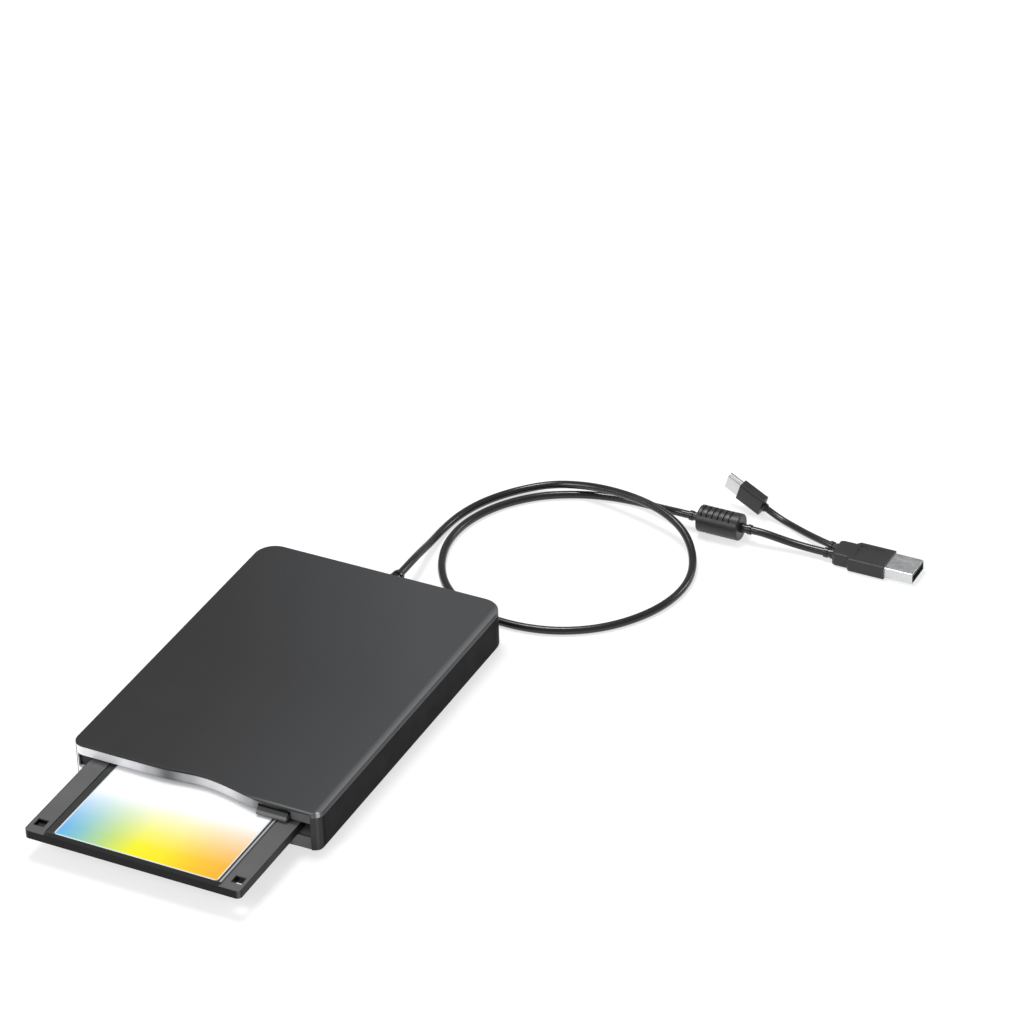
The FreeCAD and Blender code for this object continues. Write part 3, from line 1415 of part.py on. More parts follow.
def strain_relief():
    sleeve = Body("relief_sleeve")
    inner = s.gland_flange_sheet
    wall = s.case_wall
    neck = s.gland_radius - s.part_fit / 2
    length = s.relief_length
    step = (length - s.relief_cuff - 1) / RELIEF_RINGS
    profile = [(0, -wall - inner), (s.gland_flange_radius, -wall - inner), (s.gland_flange_radius, -wall),
               (neck, -wall), (neck, 0), (s.relief_radius, 0), (s.relief_radius, s.relief_cuff)]
    for number in range(RELIEF_RINGS):
        near = s.relief_cuff + step * number
        outer = s.relief_radius + (s.relief_tip_radius - s.relief_radius) * (number / RELIEF_RINGS)
        core = outer - s.relief_groove
        profile += [(core, near), (core, near + step / 2), (outer, near + step / 2),
                    (outer, near + step)]
    profile += [(s.relief_tip_radius, length), (0, length)]
    sleeve.revolve(Path(profile))
    sleeve.body.Placement = Placement(Vector(), Rotation(Vector(1, 0, 0), -90))
    put(sleeve.body, 0, back, s.gland_height)
    sleeve.piece("cable_strain_relief")


def heading(route, end):
    """The unit direction in which a cord leaves the first (0) or the last (-1) point of its route."""
    near, far = (route[1], route[0]) if end == 0 else (route[-2], route[-1])
    return (Vector(*far) - Vector(*near)).normalize()


def collar(name, face, direction, diameter):
    """A moulded collar with two rings, from a cord's end face on along its direction."""
    radius = diameter / 2 + s.collar_wall
    ring = Body(name)
    third = s.collar_length / 3
    neck = radius - s.collar_groove
    ring.revolve(Path([(0, 0), (radius, 0), (radius, third), (neck, third), (neck, 2 * third),
                       (radius, 2 * third), (radius, s.collar_length), (0, s.collar_length)]))
    ring.body.Placement = Placement(spot(face), Rotation(Vector(0, 0, 1), direction))
    return ring.body


def collars(grip):
    """The four collars, those of the two short leads trimmed to the big plug's rear face."""
    cable, lead, pigtail = s.cable_diameter, s.cable_diameter, s.pigtail_diameter
    rings = [collar("collar_cable", CABLE_ROUTE[-1], heading(CABLE_ROUTE, -1), cable),
             collar("collar_lead_in", LEAD_ROUTE[0], heading(LEAD_ROUTE, 0), lead),
             collar("collar_lead_out", LEAD_ROUTE[-1], heading(LEAD_ROUTE, -1), lead),
             collar("collar_pigtail", PIGTAIL_ROUTE[0], heading(PIGTAIL_ROUTE, 0), pigtail)]
    piece(cut("collar_set", fuse("collar_rings", *rings), grip), "cable_collars")


def ferrite():
    """The moulded ferrite sleeve: grooved round, with a smooth band along the front."""
    x, y, z = spot(CABLE_ROUTE[-1])
    start = x + s.collar_length
    core = rod("ferrite_core", "X", s.ferrite_radius, s.ferrite_length, start, y, z)
    doc.recompute()
    soft = doc.addObject("Part::Fillet", "ferrite_soft")
    soft.Base = core
    ends = [number for number, edge in enumerate(core.Shape.Edges, 1) if edge.isClosed()]
    soft.Edges = [(number, s.ferrite_round.value, s.ferrite_round.value) for number in ends]
    grooves = []
    for number in range(int(s.groove_count.value)):
        low = start + s.groove_first + s.groove_pitch * number - s.groove_width / 2
        outer = rod("groove_outer", "X", s.ferrite_radius + 1, s.groove_width, low, y, z)
        inner = rod("groove_inner", "X", s.ferrite_radius - s.groove_depth, s.groove_width, low, y, z)
        grooves.append(cut("groove_ring", outer, inner))
    band = box("ferrite_band", (start, start + s.ferrite_length),
               (y - s.ferrite_radius - 2, y - s.band_flat), (z - s.band_half, z + s.band_half))
    piece(cut("ferrite", soft, cut("ferrite_grooves", fuse("groove_set", *grooves), band)), "ferrite_sleeve")


def rounded_box(body, x, width, height, radius):
    """Pad a bar along X with a rounded section."""
    body.pad("YZ", x[0], x[1], Rect((-width / 2, width / 2), (-height / 2, height / 2), radius))


def sleeve_shell(label, x, width, height, wall, radius, placement):
    """A plug's sheet-metal shell: a tube of rounded section."""
    shell = Body(f"{label}_tube")
    rounded_box(shell, x, width, height, radius)
    inner = max(radius.value - wall.value, 0.1)
    shell.pocket("YZ", x[0], x[1], Rect((-width / 2 + wall, width / 2 - wall),
                                        (-height / 2 + wall, height / 2 - wall), as_size(inner)))
    shell.body.Placement = placement
    shell.piece(label)


def usb_a():
    end = spot(LEAD_ROUTE[-1])
    place = Placement(end + Vector(s.collar_length.value, s.usb_a_lead_offset.value, 0), Rotation())
    body = Body("usb_a_grip")
    half = s.usb_a_thickness / 2
    wide = s.usb_a_width / 2
    neck = s.usb_a_neck_width / 2
    length = s.usb_a_length
    flare = s.usb_a_neck_length + 1.4
    body.pad("XY", -half, half,
             Path([(0, -neck + 0.6), (1.2, -neck), (s.usb_a_neck_length, -neck), (flare, -wide),
                   (length, -wide), (length, wide), (flare, wide), (s.usb_a_neck_length, neck),
                   (1.2, neck), (0, neck - 0.6)]))
    body.round(s.plug_round, lambda edge: abs(abs(edge.CenterOfMass.z) - half.value) < 1e-3
               and abs(edge.CenterOfMass.y) > neck.value - 0.5)
    inset = s.usb_a_panel_inset
    body.pocket("XY", half - s.usb_a_panel_depth, half,
                Rect((flare + 1, length - inset), (-wide + inset, wide - inset), as_size(0.8)))
    seat = s.usb_a_seat
    body.pocket("YZ", length - seat, length,
                Rect((-s.usb_a_shell_width / 2, s.usb_a_shell_width / 2),
                     (-s.usb_a_shell_height / 2, s.usb_a_shell_height / 2), as_size(0.5)))
    body.body.Placement = place
    grip = body.piece("usb_a_overmold")
    reach = length + s.usb_a_shell_reach
    sleeve_shell("usb_a_shell", (length - seat, reach), s.usb_a_shell_width, s.usb_a_shell_height,
                 s.usb_a_shell_wall, as_size(0.5), place)
    tongue = Body("usb_a_tongue_bar")
    inner = s.usb_a_shell_width / 2 - s.usb_a_shell_wall
    high = s.usb_a_shell_height / 2 - s.usb_a_shell_wall
    tongue.pad("YZ", length - seat, reach - 0.4,
               Rect((-inner, inner), (high - s.usb_a_tongue, high), as_size(0.2)))
    tongue.body.Placement = place
    tongue.piece("usb_a_tongue")
    return grip


def usb_c():
    tip = heading(PIGTAIL_ROUTE, -1)
    yaw = math.degrees(math.atan2(tip.y, tip.x))
    pitch = -math.degrees(math.asin(tip.z))
    place = Placement(spot(PIGTAIL_ROUTE[-1]), Rotation(yaw, pitch, s.usb_c_roll.value))
    body = Body("usb_c_grip")
    rounded_box(body, (s.usb_c_neck, s.usb_c_length), s.usb_c_width, s.usb_c_thickness, s.plug_round)
    body.pad("YZ", 0, s.usb_c_neck + 0.5, Disc(0, 0, s.pigtail_diameter / 2 + s.collar_wall))
    seat = s.usb_c_seat
    length = s.usb_c_length
    body.pocket("YZ", length - seat, length,
                Rect((-s.usb_c_shell_width / 2, s.usb_c_shell_width / 2),
                     (-s.usb_c_shell_height / 2, s.usb_c_shell_height / 2), s.usb_c_shell_round))
    body.body.Placement = place
    body.piece("usb_c_overmold")
    sleeve_shell("usb_c_shell", (length - seat, length + s.usb_c_shell_reach), s.usb_c_shell_width,
                 s.usb_c_shell_height, s.usb_c_shell_wall, s.usb_c_shell_round, place)


def cords():
    tube("usb_cable", CABLE_ROUTE, s.cable_diameter.value)
    tube("plug_lead", LEAD_ROUTE, s.cable_diameter.value)
    tube("pigtail_cable", PIGTAIL_ROUTE, s.pigtail_diameter.value)


def build():
    case_cutter = front_space("front_space", as_size(0))
    bezel_cutter = front_space("bezel_space", s.bezel_setback)
    bottom_case(case_cutter)
    top_cover(case_cutter)
    front_bezel(bezel_cutter)
    led_lens()
    feet()
    screws()
    chassis()
    top_plate()
    rods()
    drive_board()
    sensors()
    stepper()
    spindle()
    slider()
    button()
    spring()
    holder()
    lever()
    disk_top_shell()
    disk_bottom_shell()
    write_tab()
    disk_label()
    liners()
    media()
    shutter()
    carriage()
    upper_arm()
    controller_board()
    strain_relief()
    cords()
    ferrite()
    collars(usb_a())
    usb_c()
    doc.recompute()


def export():
    """Check every object and write each sub-part to parts/LABEL.step."""
    for thing in doc.Objects:
        if "Invalid" in thing.State or "Error" in thing.State:
            raise RuntimeError(f"{thing.Name} ({thing.Label}) failed: {thing.State}")
        if thing.TypeId in ("PartDesign::Pocket", "PartDesign::Groove"):
            if thing.Shape.Volume > thing.BaseFeature.Shape.Volume - 1e-6:
                raise RuntimeError(f"{thing.Name} cuts nothing")
    os.makedirs("parts", exist_ok=True)
    for thing in PIECES:
        shape = thing.Shape
        if shape.isNull() or not shape.isValid() or not shape.Solids:
            raise RuntimeError(f"{thing.Label} has no valid solid")
        shape.exportStep(f"parts/{thing.Label}.step")
    print(f"{len(PIECES)} sub-parts")


build()
export()
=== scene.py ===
"""External floppy disk drive: its finishes, cords, floor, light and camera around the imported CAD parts."""
import json
import math

import bpy
from mathutils import Matrix, Vector


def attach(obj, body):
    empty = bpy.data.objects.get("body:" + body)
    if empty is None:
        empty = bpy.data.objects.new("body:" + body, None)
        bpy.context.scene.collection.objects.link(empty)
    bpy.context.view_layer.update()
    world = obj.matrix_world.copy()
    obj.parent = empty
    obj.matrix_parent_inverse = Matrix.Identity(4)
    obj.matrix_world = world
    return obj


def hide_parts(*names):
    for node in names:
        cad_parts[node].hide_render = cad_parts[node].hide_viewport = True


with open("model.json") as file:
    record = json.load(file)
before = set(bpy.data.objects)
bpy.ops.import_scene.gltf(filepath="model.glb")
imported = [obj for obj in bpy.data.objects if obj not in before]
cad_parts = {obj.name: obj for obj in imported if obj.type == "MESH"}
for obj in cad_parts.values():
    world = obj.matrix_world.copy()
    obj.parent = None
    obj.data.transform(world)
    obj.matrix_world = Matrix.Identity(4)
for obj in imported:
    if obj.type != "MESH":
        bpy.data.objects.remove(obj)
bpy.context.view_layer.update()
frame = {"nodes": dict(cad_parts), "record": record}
NODES = frame["nodes"]
SCENE = bpy.context.scene
MM = 0.001


# ---------------------------------------------------------------------------------------------
# Camera, fitted to the photograph with the disk as the scale
# ---------------------------------------------------------------------------------------------

CAMERA_PLACE = (0.753787, -1.252895, 1.031571)
CAMERA_AZIMUTH = 27.686
CAMERA_ELEVATION = 32.941
CAMERA_ROLL = -1.959
LENS_MM = 165.56
SENSOR_MM = 36
CLIP_NEAR = 0.05
CLIP_FAR = 20


def make_camera():
    azimuth, elevation, roll = (
        math.radians(angle) for angle in (CAMERA_AZIMUTH, CAMERA_ELEVATION, CAMERA_ROLL))
    forward = Vector((-math.sin(azimuth) * math.cos(elevation),
                      math.cos(azimuth) * math.cos(elevation), -math.sin(elevation)))
    level = Vector((math.cos(azimuth), math.sin(azimuth), 0))
    above = level.cross(forward)
    right = math.cos(roll) * level + math.sin(roll) * above
    up = -math.sin(roll) * level + math.cos(roll) * above
    data = bpy.data.cameras.new("photo_camera")
    data.sensor_width = SENSOR_MM
    data.lens = LENS_MM
    data.clip_start = CLIP_NEAR
    data.clip_end = CLIP_FAR
    camera = bpy.data.objects.new("photo_camera", data)
    turn = Matrix((right, up, -forward)).transposed()
    camera.matrix_world = Matrix.Translation(CAMERA_PLACE) @ turn.to_4x4()
    SCENE.collection.objects.link(camera)
    SCENE.camera = camera


# ---------------------------------------------------------------------------------------------
# Node materials
# ---------------------------------------------------------------------------------------------

# Noise values gather around a half, so a span of the noise starts and ends well inside 0 and 1.
NOISE_MOST = (0.3, 0.7)
NOISE_MIDDLE = (0.35, 0.65)
# Sockets of a colour Mix node: the factor and two colours going in, and the colour coming out.
MIX_FACTOR = 0
MIX_COLOURS = (6, 7)
MIX_RESULT = 2
BEVEL_SAMPLES = 6


class Finish:
    """A node material: a Principled shader with the object's own coordinates in metres."""

    def __init__(self, name, roughness, metallic=0.0, specular=0.5, coat=0.0):
        self.material = bpy.data.materials.new(name)
        self.material.use_nodes = True
        self.tree = self.material.node_tree
        self.shader = self.tree.nodes["Principled BSDF"]
        self.shader.inputs["Roughness"].default_value = roughness
        self.shader.inputs["Metallic"].default_value = metallic
        self.shader.inputs["Specular IOR Level"].default_value = specular
        self.shader.inputs["Coat Weight"].default_value = coat
        self.place = self.node("ShaderNodeTexCoord").outputs["Object"]

    def node(self, kind, numbered=(), **named):
        node = self.tree.nodes.new(kind)
        for socket, value in (*enumerate(numbered), *named.items()):
            self.set(node, socket, value)
        return node

    def set(self, node, socket, value):
        """Links another node's output to an input, or sets the input's own value."""
        if isinstance(value, bpy.types.NodeSocket):
            self.tree.links.new(value, node.inputs[socket])
        else:
            node.inputs[socket].default_value = value

    def math(self, operation, *values):
        node = self.node("ShaderNodeMath", values)
        node.operation = operation
        return node.outputs[0]

    def noise(self, scale, detail=3.0, stretch=(1, 1, 1)):
        place = self.place
        if stretch != (1, 1, 1):
            place = self.node("ShaderNodeMapping", Vector=place, Scale=stretch).outputs[0]
        return self.node("ShaderNodeTexNoise", Vector=place, Scale=scale, Detail=detail).outputs[0]

    def axis(self, letter):
        return self.node("ShaderNodeSeparateXYZ", Vector=self.place).outputs[letter]

    def span(self, value, low, high, first=0.0, last=1.0):
        """A value from low to high turned into first to last, held at both ends."""
        return self.node("ShaderNodeMapRange", (value, low, high, first, last)).outputs[0]

    def across(self, letter, low, high, first=0.0, last=1.0):
        """A span of the place along an axis, with its ends in mm."""
        return self.span(self.axis(letter), low * MM, high * MM, first, last)

    def within(self, letter, first, rise, fall, last):
        """1 between the inner two of four limits in mm along an axis, 0 beyond the outer two."""
        return self.math("MULTIPLY", self.across(letter, first, rise),
                         self.across(letter, fall, last, 1.0, 0.0))

    def box(self, limits):
        """1 inside a box and 0 outside it; each axis that it names has its four limits."""
        inside = None
        for letter, places in limits.items():
            along = self.within(letter, *places)
            inside = along if inside is None else self.math("MULTIPLY", inside, along)
        return inside

    def patch(self, tone, colour, *boxes):
        """The tone with a colour laid over it in some boxes."""
        inside = self.box(boxes[0])
        for limits in boxes[1:]:
            inside = self.math("MAXIMUM", inside, self.box(limits))
        return self.mix(inside, tone, colour)

    def ramp(self, value, stops, smooth=True):
        node = self.node("ShaderNodeValToRGB", (value,))
        band = node.color_ramp
        band.interpolation = "EASE" if smooth else "LINEAR"
        while len(band.elements) < len(stops):
            band.elements.new(1.0)
        for element, (position, colour) in zip(band.elements, stops):
            element.position = position
            element.color = (*colour, 1.0)
        return node.outputs[0]

    def mix(self, factor, first, second):
        """The first colour where the factor is 0, the second where it is 1."""
        node = self.tree.nodes.new("ShaderNodeMix")
        node.data_type = "RGBA"
        self.set(node, MIX_FACTOR, factor)
        for socket, colour in zip(MIX_COLOURS, (first, second)):
            linked = isinstance(colour, bpy.types.NodeSocket)
            self.set(node, socket, colour if linked else (*colour, 1.0))
        return node.outputs[MIX_RESULT]

    def clouds(self, scale, detail, dark, light):
        """A tone that drifts between two colours."""
        return self.mix(self.span(self.noise(scale, detail), *NOISE_MIDDLE), dark, light)

    def haze(self, tone, scale, detail, amount, colour):
        """The tone with a faint cloud of another colour over it."""
        return self.mix(self.span(self.noise(scale, detail), *NOISE_MOST, 0.0, amount), tone, colour)

    def colour(self, value):
        self.set(self.shader, "Base Color", value)

    def rough(self, value):
        self.set(self.shader, "Roughness", value)

    def uneven(self, scale, low, high):
        """Roughness that drifts between two values."""
        self.rough(self.span(self.noise(scale), *NOISE_MOST, low, high))

    def relief(self, height, strength, depth, edge=0.0):
        """Surface grain of a depth, and edges that catch the light over a radius, both in mm."""
        bump = self.node("ShaderNodeBump", Height=height, Strength=strength, Distance=depth * MM)
        if edge:
            rounded = self.node("ShaderNodeBevel", Radius=edge * MM)
            rounded.samples = BEVEL_SAMPLES
            self.set(bump, "Normal", rounded.outputs[0])
        self.set(self.shader, "Normal", bump.outputs[0])


def moulded(name, dark, light, roughness=0.5, specular=0.4, grain=1600, depth=0.03, edge=0.25, coat=0.0):
    """Moulded plastic or rubber: faint clouds of tone, a fine eroded grain, soft edges."""
    finish = Finish(name, roughness, specular=specular, coat=coat)
    finish.colour(finish.clouds(45, 4, dark, light))
    finish.uneven(120, roughness - 0.05, roughness + 0.07)
    finish.relief(finish.noise(grain, 2), 0.35, depth, edge)
    return finish


def metal(name, dark, light, roughness=0.3, stretch=(1, 1, 1), grain=600, edge=0.15, depth=0.02):
    """Sheet or turned metal; a stretch along one axis brushes it across that axis."""
    finish = Finish(name, roughness, metallic=1.0)
    brushed = finish.noise(grain, 3, stretch)
    finish.colour(finish.mix(finish.span(brushed, *NOISE_MOST), dark, light))
    finish.rough(finish.span(brushed, *NOISE_MOST, roughness - 0.06, roughness + 0.1))
    finish.relief(brushed, 0.12, depth, edge)
    return finish


# ---------------------------------------------------------------------------------------------
# Finishes of the outside. Places on the part are in mm: a box gives four limits for each axis,
# between the inner two of which its tone is full. NO_END is past the part.
# ---------------------------------------------------------------------------------------------

NO_END = (500, 600)

# The cover's painted light follows X plus a share of Y, with a further share behind the middle, over a reach
# in mm.
COVER_REACH = 62
COVER_LEAN = 0.15
COVER_REAR_LEAN = 0.45
COVER_LIGHT_STOPS = ((0.0, (0.0195, 0.0195, 0.0195)), (0.3, (0.0230, 0.0230, 0.0240)),
               (0.7, (0.037, 0.038, 0.040)), (1.0, (0.051, 0.052, 0.054)))
# Painted highlights: along the cover's right top edge, along its front edge past the button, and on its
# front right corner.
COVER_SIDE_HIGHLIGHT = {"X": (49.8, 52.3, 52.6, 52.95)}
COVER_FRONT_HIGHLIGHT = {"Y": (-75.6, -75.3, -75.0, -74.5), "X": (20, 34, 53, 60)}
COVER_CORNER_HIGHLIGHT = {"Y": (-74.9, -74.3, -73.7, -73.2), "X": (50.9, 51.5, 52.2, 52.7)}


def cover_finish():
    """Matt charcoal, with painted light making it lighter towards the right and the rear, and painted
    highlights on its right and front edges and its front right corner.
    """
    finish = Finish("cover_charcoal_with_painted_light", 0.42, specular=0.2)
    # Painted light: the cover's colour grows lighter towards the right and the rear.
    depth = finish.axis("Y")
    rear = finish.math("MULTIPLY", finish.math("MAXIMUM", depth, 0.0), COVER_REAR_LEAN)
    lean = finish.math("ADD", finish.math("MULTIPLY", depth, COVER_LEAN), rear)
    slant = finish.math("ADD", finish.axis("X"), lean)
    place = finish.span(slant, -COVER_REACH * MM, COVER_REACH * MM)
    tone = finish.ramp(place, COVER_LIGHT_STOPS, smooth=False)
    tone = finish.haze(tone, 90, 4, 0.06, (0.05, 0.05, 0.052))
    # Painted highlights on the right and front edges, then a brighter one on the front right corner.
    tone = finish.patch(tone, (0.125, 0.127, 0.135), COVER_SIDE_HIGHLIGHT, COVER_FRONT_HIGHLIGHT)
    finish.colour(finish.patch(tone, (0.50, 0.50, 0.52), COVER_CORNER_HIGHLIGHT))
    finish.uneven(900, 0.39, 0.47)
    finish.relief(finish.noise(1700, 2), 0.3, 0.02, 0.45)
    return finish


# Painted light on the front corner post, and a painted highlight down its rounded corner.
CASE_POST_PAINTED_LIGHT = {"Y": (-90, -80, -73.0, -72.2)}
CASE_CORNER_HIGHLIGHT = {**CASE_POST_PAINTED_LIGHT, "X": (50.9, 51.3, 51.6, 52.1)}


def case_finish():
    """The lower case: nearly black, with painted light making the front corner post a little paler and a
    painted highlight down its rounded corner.
    """
    finish = Finish("case_charcoal_with_painted_light", 0.45, specular=0.02)
    tone = finish.clouds(45, 4, (0.014, 0.014, 0.014), (0.017, 0.017, 0.0172))
    # Painted light on the front post, then a painted highlight on its corner.
    tone = finish.patch(tone, (0.058, 0.058, 0.059), CASE_POST_PAINTED_LIGHT)
    finish.colour(finish.patch(tone, (0.085, 0.085, 0.087), CASE_CORNER_HIGHLIGHT))
    finish.uneven(120, 0.40, 0.52)
    finish.relief(finish.noise(1500, 2), 0.35, 0.025, 0.4)
    return finish


BEZEL_HALF_WIDTH = 53
# Places across the bezel, from 0 at its left end to 1 at its right, and the grey at each: its silver with
# painted reflections, a grey patch left of the middle and dark grey past the button.
SILVER_REFLECTION_STOPS = ((0.0, 0.92), (0.19, 0.90), (0.26, 0.74), (0.315, 0.46), (0.385, 0.13),
                (0.46, 0.42), (0.54, 0.70), (0.62, 0.78), (0.72, 0.38), (0.755, 0.20),
                (0.785, 0.014), (0.87, 0.014), (0.90, 0.14), (1.0, 0.10))
SILVER_BLUE = 1.03
# Painted shade inside the slot.
SLOT_PAINTED_SHADE = {"X": (-51.3, -51.2, -1, 1), "Y": (-70.9, -70.6, -50, -40), "Z": (5.9, 6.05, 12.05, 12.15)}
# Painted light on a band of the slot's floor at the right.
SLOT_FLOOR_PAINTED_LIGHT = {"Z": (5.8, 5.95, 6.05, 6.2), "X": (38, 40, 52, 53), "Y": (-75.2, -73.6, -60, -50)}


def bezel_finish():
    """The bezel's silver coating with painted reflections, from near-white on the left to dark grey past the
    button.
    """
    finish = Finish("bezel_silver", 0.32, metallic=0.1, specular=0.35)
    stops = [(place, (grey, grey, grey * SILVER_BLUE)) for place, grey in SILVER_REFLECTION_STOPS]
    # Painted reflections across the bezel's silver.
    tone = finish.ramp(finish.across("X", -BEZEL_HALF_WIDTH, BEZEL_HALF_WIDTH), stops)
    tone = finish.haze(tone, 250, 3, 0.04, (0.3, 0.3, 0.31))
    # Painted shade inside the slot.
    tone = finish.patch(tone, (0.006, 0.006, 0.006), SLOT_PAINTED_SHADE)
    # Painted light on the slot's floor at the right.
    finish.colour(finish.patch(tone, (0.62, 0.62, 0.63), SLOT_FLOOR_PAINTED_LIGHT))
    finish.uneven(200, 0.28, 0.40)
    finish.relief(finish.noise(2200, 2), 0.15, 0.01, 0.2)
    return finish


LABEL_HUES = ((0.0, (0.10, 0.38, 0.72)), (0.12, (0.19, 0.46, 0.50)), (0.28, (0.42, 0.60, 0.18)),
              (0.45, (0.76, 0.74, 0.008)), (0.62, (0.83, 0.68, 0.008)),
              (0.80, (0.82, 0.50, 0.012)), (1.0, (0.76, 0.38, 0.03)))
LABEL_SPAN = (-33.9, 34.4)
# The share of white from the label's outer end to the slot, over these places in Y, tilted by a share of X.
LABEL_WHITE = ((0.0, 0.0), (0.23, 0.025), (0.47, 0.19), (0.70, 0.46), (0.82, 0.66), (0.94, 0.93), (1.0, 1.0))
LABEL_FADE = (-118, -84)
LABEL_TILT = -0.04
# Each side of the label's pale rim fades between two places, in mm.
RIM_LEFT = (-33.6, -33.2)
RIM_RIGHT = (33.7, 34.1)
RIM_OUTER = (-117.4, -116.9)


def label_finish():
    """A plain printed gradient, blue to orange across, fading to white towards the slot."""
    finish = Finish("label_print", 0.5, specular=0.12)
    hue = finish.ramp(finish.across("X", *LABEL_SPAN), LABEL_HUES, smooth=False)
    slant = finish.math("ADD", finish.axis("Y"), finish.math("MULTIPLY", finish.axis("X"), LABEL_TILT))
    fade = finish.span(slant, *(place * MM for place in LABEL_FADE))
    white = finish.ramp(fade, [(place, (level,) * 3) for place, level in LABEL_WHITE], smooth=False)
    printed = finish.mix(white, hue, (0.86, 0.87, 0.88))
    left = finish.across("X", *RIM_LEFT, 1.0, 0.0)
    right = finish.across("X", *RIM_RIGHT)
    outer = finish.across("Y", *RIM_OUTER, 1.0, 0.0)
    rim = finish.math("MAXIMUM", finish.math("MAXIMUM", left, right), outer)
    finish.colour(finish.mix(rim, printed, (0.62, 0.70, 0.72)))
    finish.uneven(900, 0.38, 0.5)
    finish.relief(finish.noise(2500, 3), 0.15, 0.01)
    return finish


# Painted light on the button's lower face; the dark above it is painted shade.
BUTTON_PAINTED_LIGHT = {"Z": (5, 6, 13.35, 13.65)}


def button_finish():
    """The button: charcoal, dark above as painted shade, and paler below as painted light on its lower face.
    """
    finish = Finish("button_charcoal_with_painted_light", 0.45, specular=0.3)
    tone = finish.clouds(60, 3, (0.022, 0.022, 0.023), (0.030, 0.030, 0.031))
    finish.colour(finish.patch(tone, (0.135, 0.135, 0.138), BUTTON_PAINTED_LIGHT))
    finish.relief(finish.noise(1600, 2), 0.35, 0.03, 0.2)
    return finish


# Painted shade on the disk's side and front faces, which lie outside this box.
DISK_CLEAR_OF_EDGE_SHADE = {"X": (-44.95, -44.6, 44.6, 44.95), "Y": (-120.4, -120.0, *NO_END)}
BESIDE_LABEL = {"Y": (-118, -117.4, -68, -67), "Z": (11.0, 11.1, 12, 13)}
# Painted shade in the groove left of the label, and a painted highlight on the ridge right of it.
DISK_GROOVE_PAINTED_SHADE = {**BESIDE_LABEL, "X": (-37.3, -37.0, -36.2, -35.9)}
DISK_RIDGE_HIGHLIGHT = {**BESIDE_LABEL, "X": (35.2, 35.45, 35.85, 36.1)}
LEFT_STRIP = {**BESIDE_LABEL, "X": (-36.2, -35.9, -34.2, -34.0)}
RIGHT_STRIP = {**BESIDE_LABEL, "X": (34.3, 34.5, 35.1, 35.3)}
# Painted shade on the walls of the disk's hole.
HOLE_WALLS_PAINTED_SHADE = {"Y": (-119, -118.9, -108, -107.9), "Z": (8.2, 8.4, 10.8, 11.0)}
OUTER_STRIP = {"Y": (-122, -121, -118.0, -117.7), "X": (-37, -36.4, 36.0, 36.6)}


def disk_finish():
    """The disk's shell: mid grey faces with darker edges as painted shade, painted shade in its hole and
    groove, a painted highlight on its ridge, and lines beside the label.
    """
    finish = Finish("disk_charcoal_with_painted_light", 0.42, specular=0.14)
    tone = finish.clouds(45, 4, (0.095, 0.095, 0.0965), (0.1085, 0.1085, 0.110))
    tone = finish.patch(tone, (0.032, 0.032, 0.033), LEFT_STRIP, RIGHT_STRIP)
    # Painted shade in the hole.
    tone = finish.patch(tone, (0.008, 0.008, 0.008), HOLE_WALLS_PAINTED_SHADE)
    # Painted shade in the groove, then a painted highlight on the ridge.
    tone = finish.patch(tone, (0.012, 0.012, 0.012), DISK_GROOVE_PAINTED_SHADE)
    tone = finish.patch(tone, (0.36, 0.36, 0.36), DISK_RIDGE_HIGHLIGHT)
    tone = finish.patch(tone, (0.014, 0.014, 0.014), OUTER_STRIP)
    # Painted shade on the side and front faces.
    finish.colour(finish.mix(finish.box(DISK_CLEAR_OF_EDGE_SHADE), (0.006, 0.006, 0.006), tone))
    finish.uneven(120, 0.37, 0.49)
    finish.relief(finish.noise(1300, 2), 0.35, 0.03, 0.2)
    return finish


# ---------------------------------------------------------------------------------------------
# Finishes of the inside
# ---------------------------------------------------------------------------------------------

MEDIA_CENTRE_Y = -72.4
# The sheen's rings follow the sine of the radius in metres times this.
RING_RATE = 9000.0
# Where a track's edge lies in the wave that draws the board's tracks.
TRACK_EDGE = (0.62, 0.7)


def board_finish():
    """Solder mask over copper tracks."""
    finish = Finish("board_green", 0.35, specular=0.5)
    tracks = finish.node("ShaderNodeTexWave", Vector=finish.place, Scale=160.0, Distortion=6.0, Detail=1.0)
    line = finish.span(tracks.outputs[1], *TRACK_EDGE)
    finish.colour(finish.mix(line, (0.012, 0.075, 0.03), (0.03, 0.15, 0.06)))
    finish.relief(line, 0.2, 0.03)
    return finish


def woven_finish():
    """The disk's liners: pale unwoven fibres."""
    finish = Finish("liner_fibres", 0.9, specular=0.1)
    fibres = finish.noise(900, 4, (1, 0.25, 1))
    finish.colour(finish.mix(finish.span(fibres, *NOISE_MOST), (0.6, 0.6, 0.57), (0.82, 0.82, 0.79)))
    finish.relief(fibres, 0.5, 0.05)
    return finish


def film_finish():
    """The coated recording film, with the faint circular sheen of its running tracks."""
    finish = Finish("media_film", 0.18, specular=0.6)
    x = finish.axis("X")
    y = finish.math("ADD", finish.axis("Y"), -MEDIA_CENTRE_Y * MM)
    squares = finish.math("ADD", finish.math("MULTIPLY", x, x), finish.math("MULTIPLY", y, y))
    radius = finish.math("SQRT", squares)
    rings = finish.math("SINE", finish.math("MULTIPLY", radius, RING_RATE))
    finish.colour(finish.mix(finish.span(rings, -1, 1), (0.020, 0.011, 0.008), (0.030, 0.018, 0.012)))
    finish.rough(finish.span(rings, -1, 1, 0.14, 0.22))
    return finish


# ---------------------------------------------------------------------------------------------
# Which piece has which finish
# ---------------------------------------------------------------------------------------------

# Two nodes share a slot with others in the record but look different in the photograph.
OWN_FINISH = {"bottom_case": "case_plastic", "ferrite_sleeve": "ferrite_plastic"}


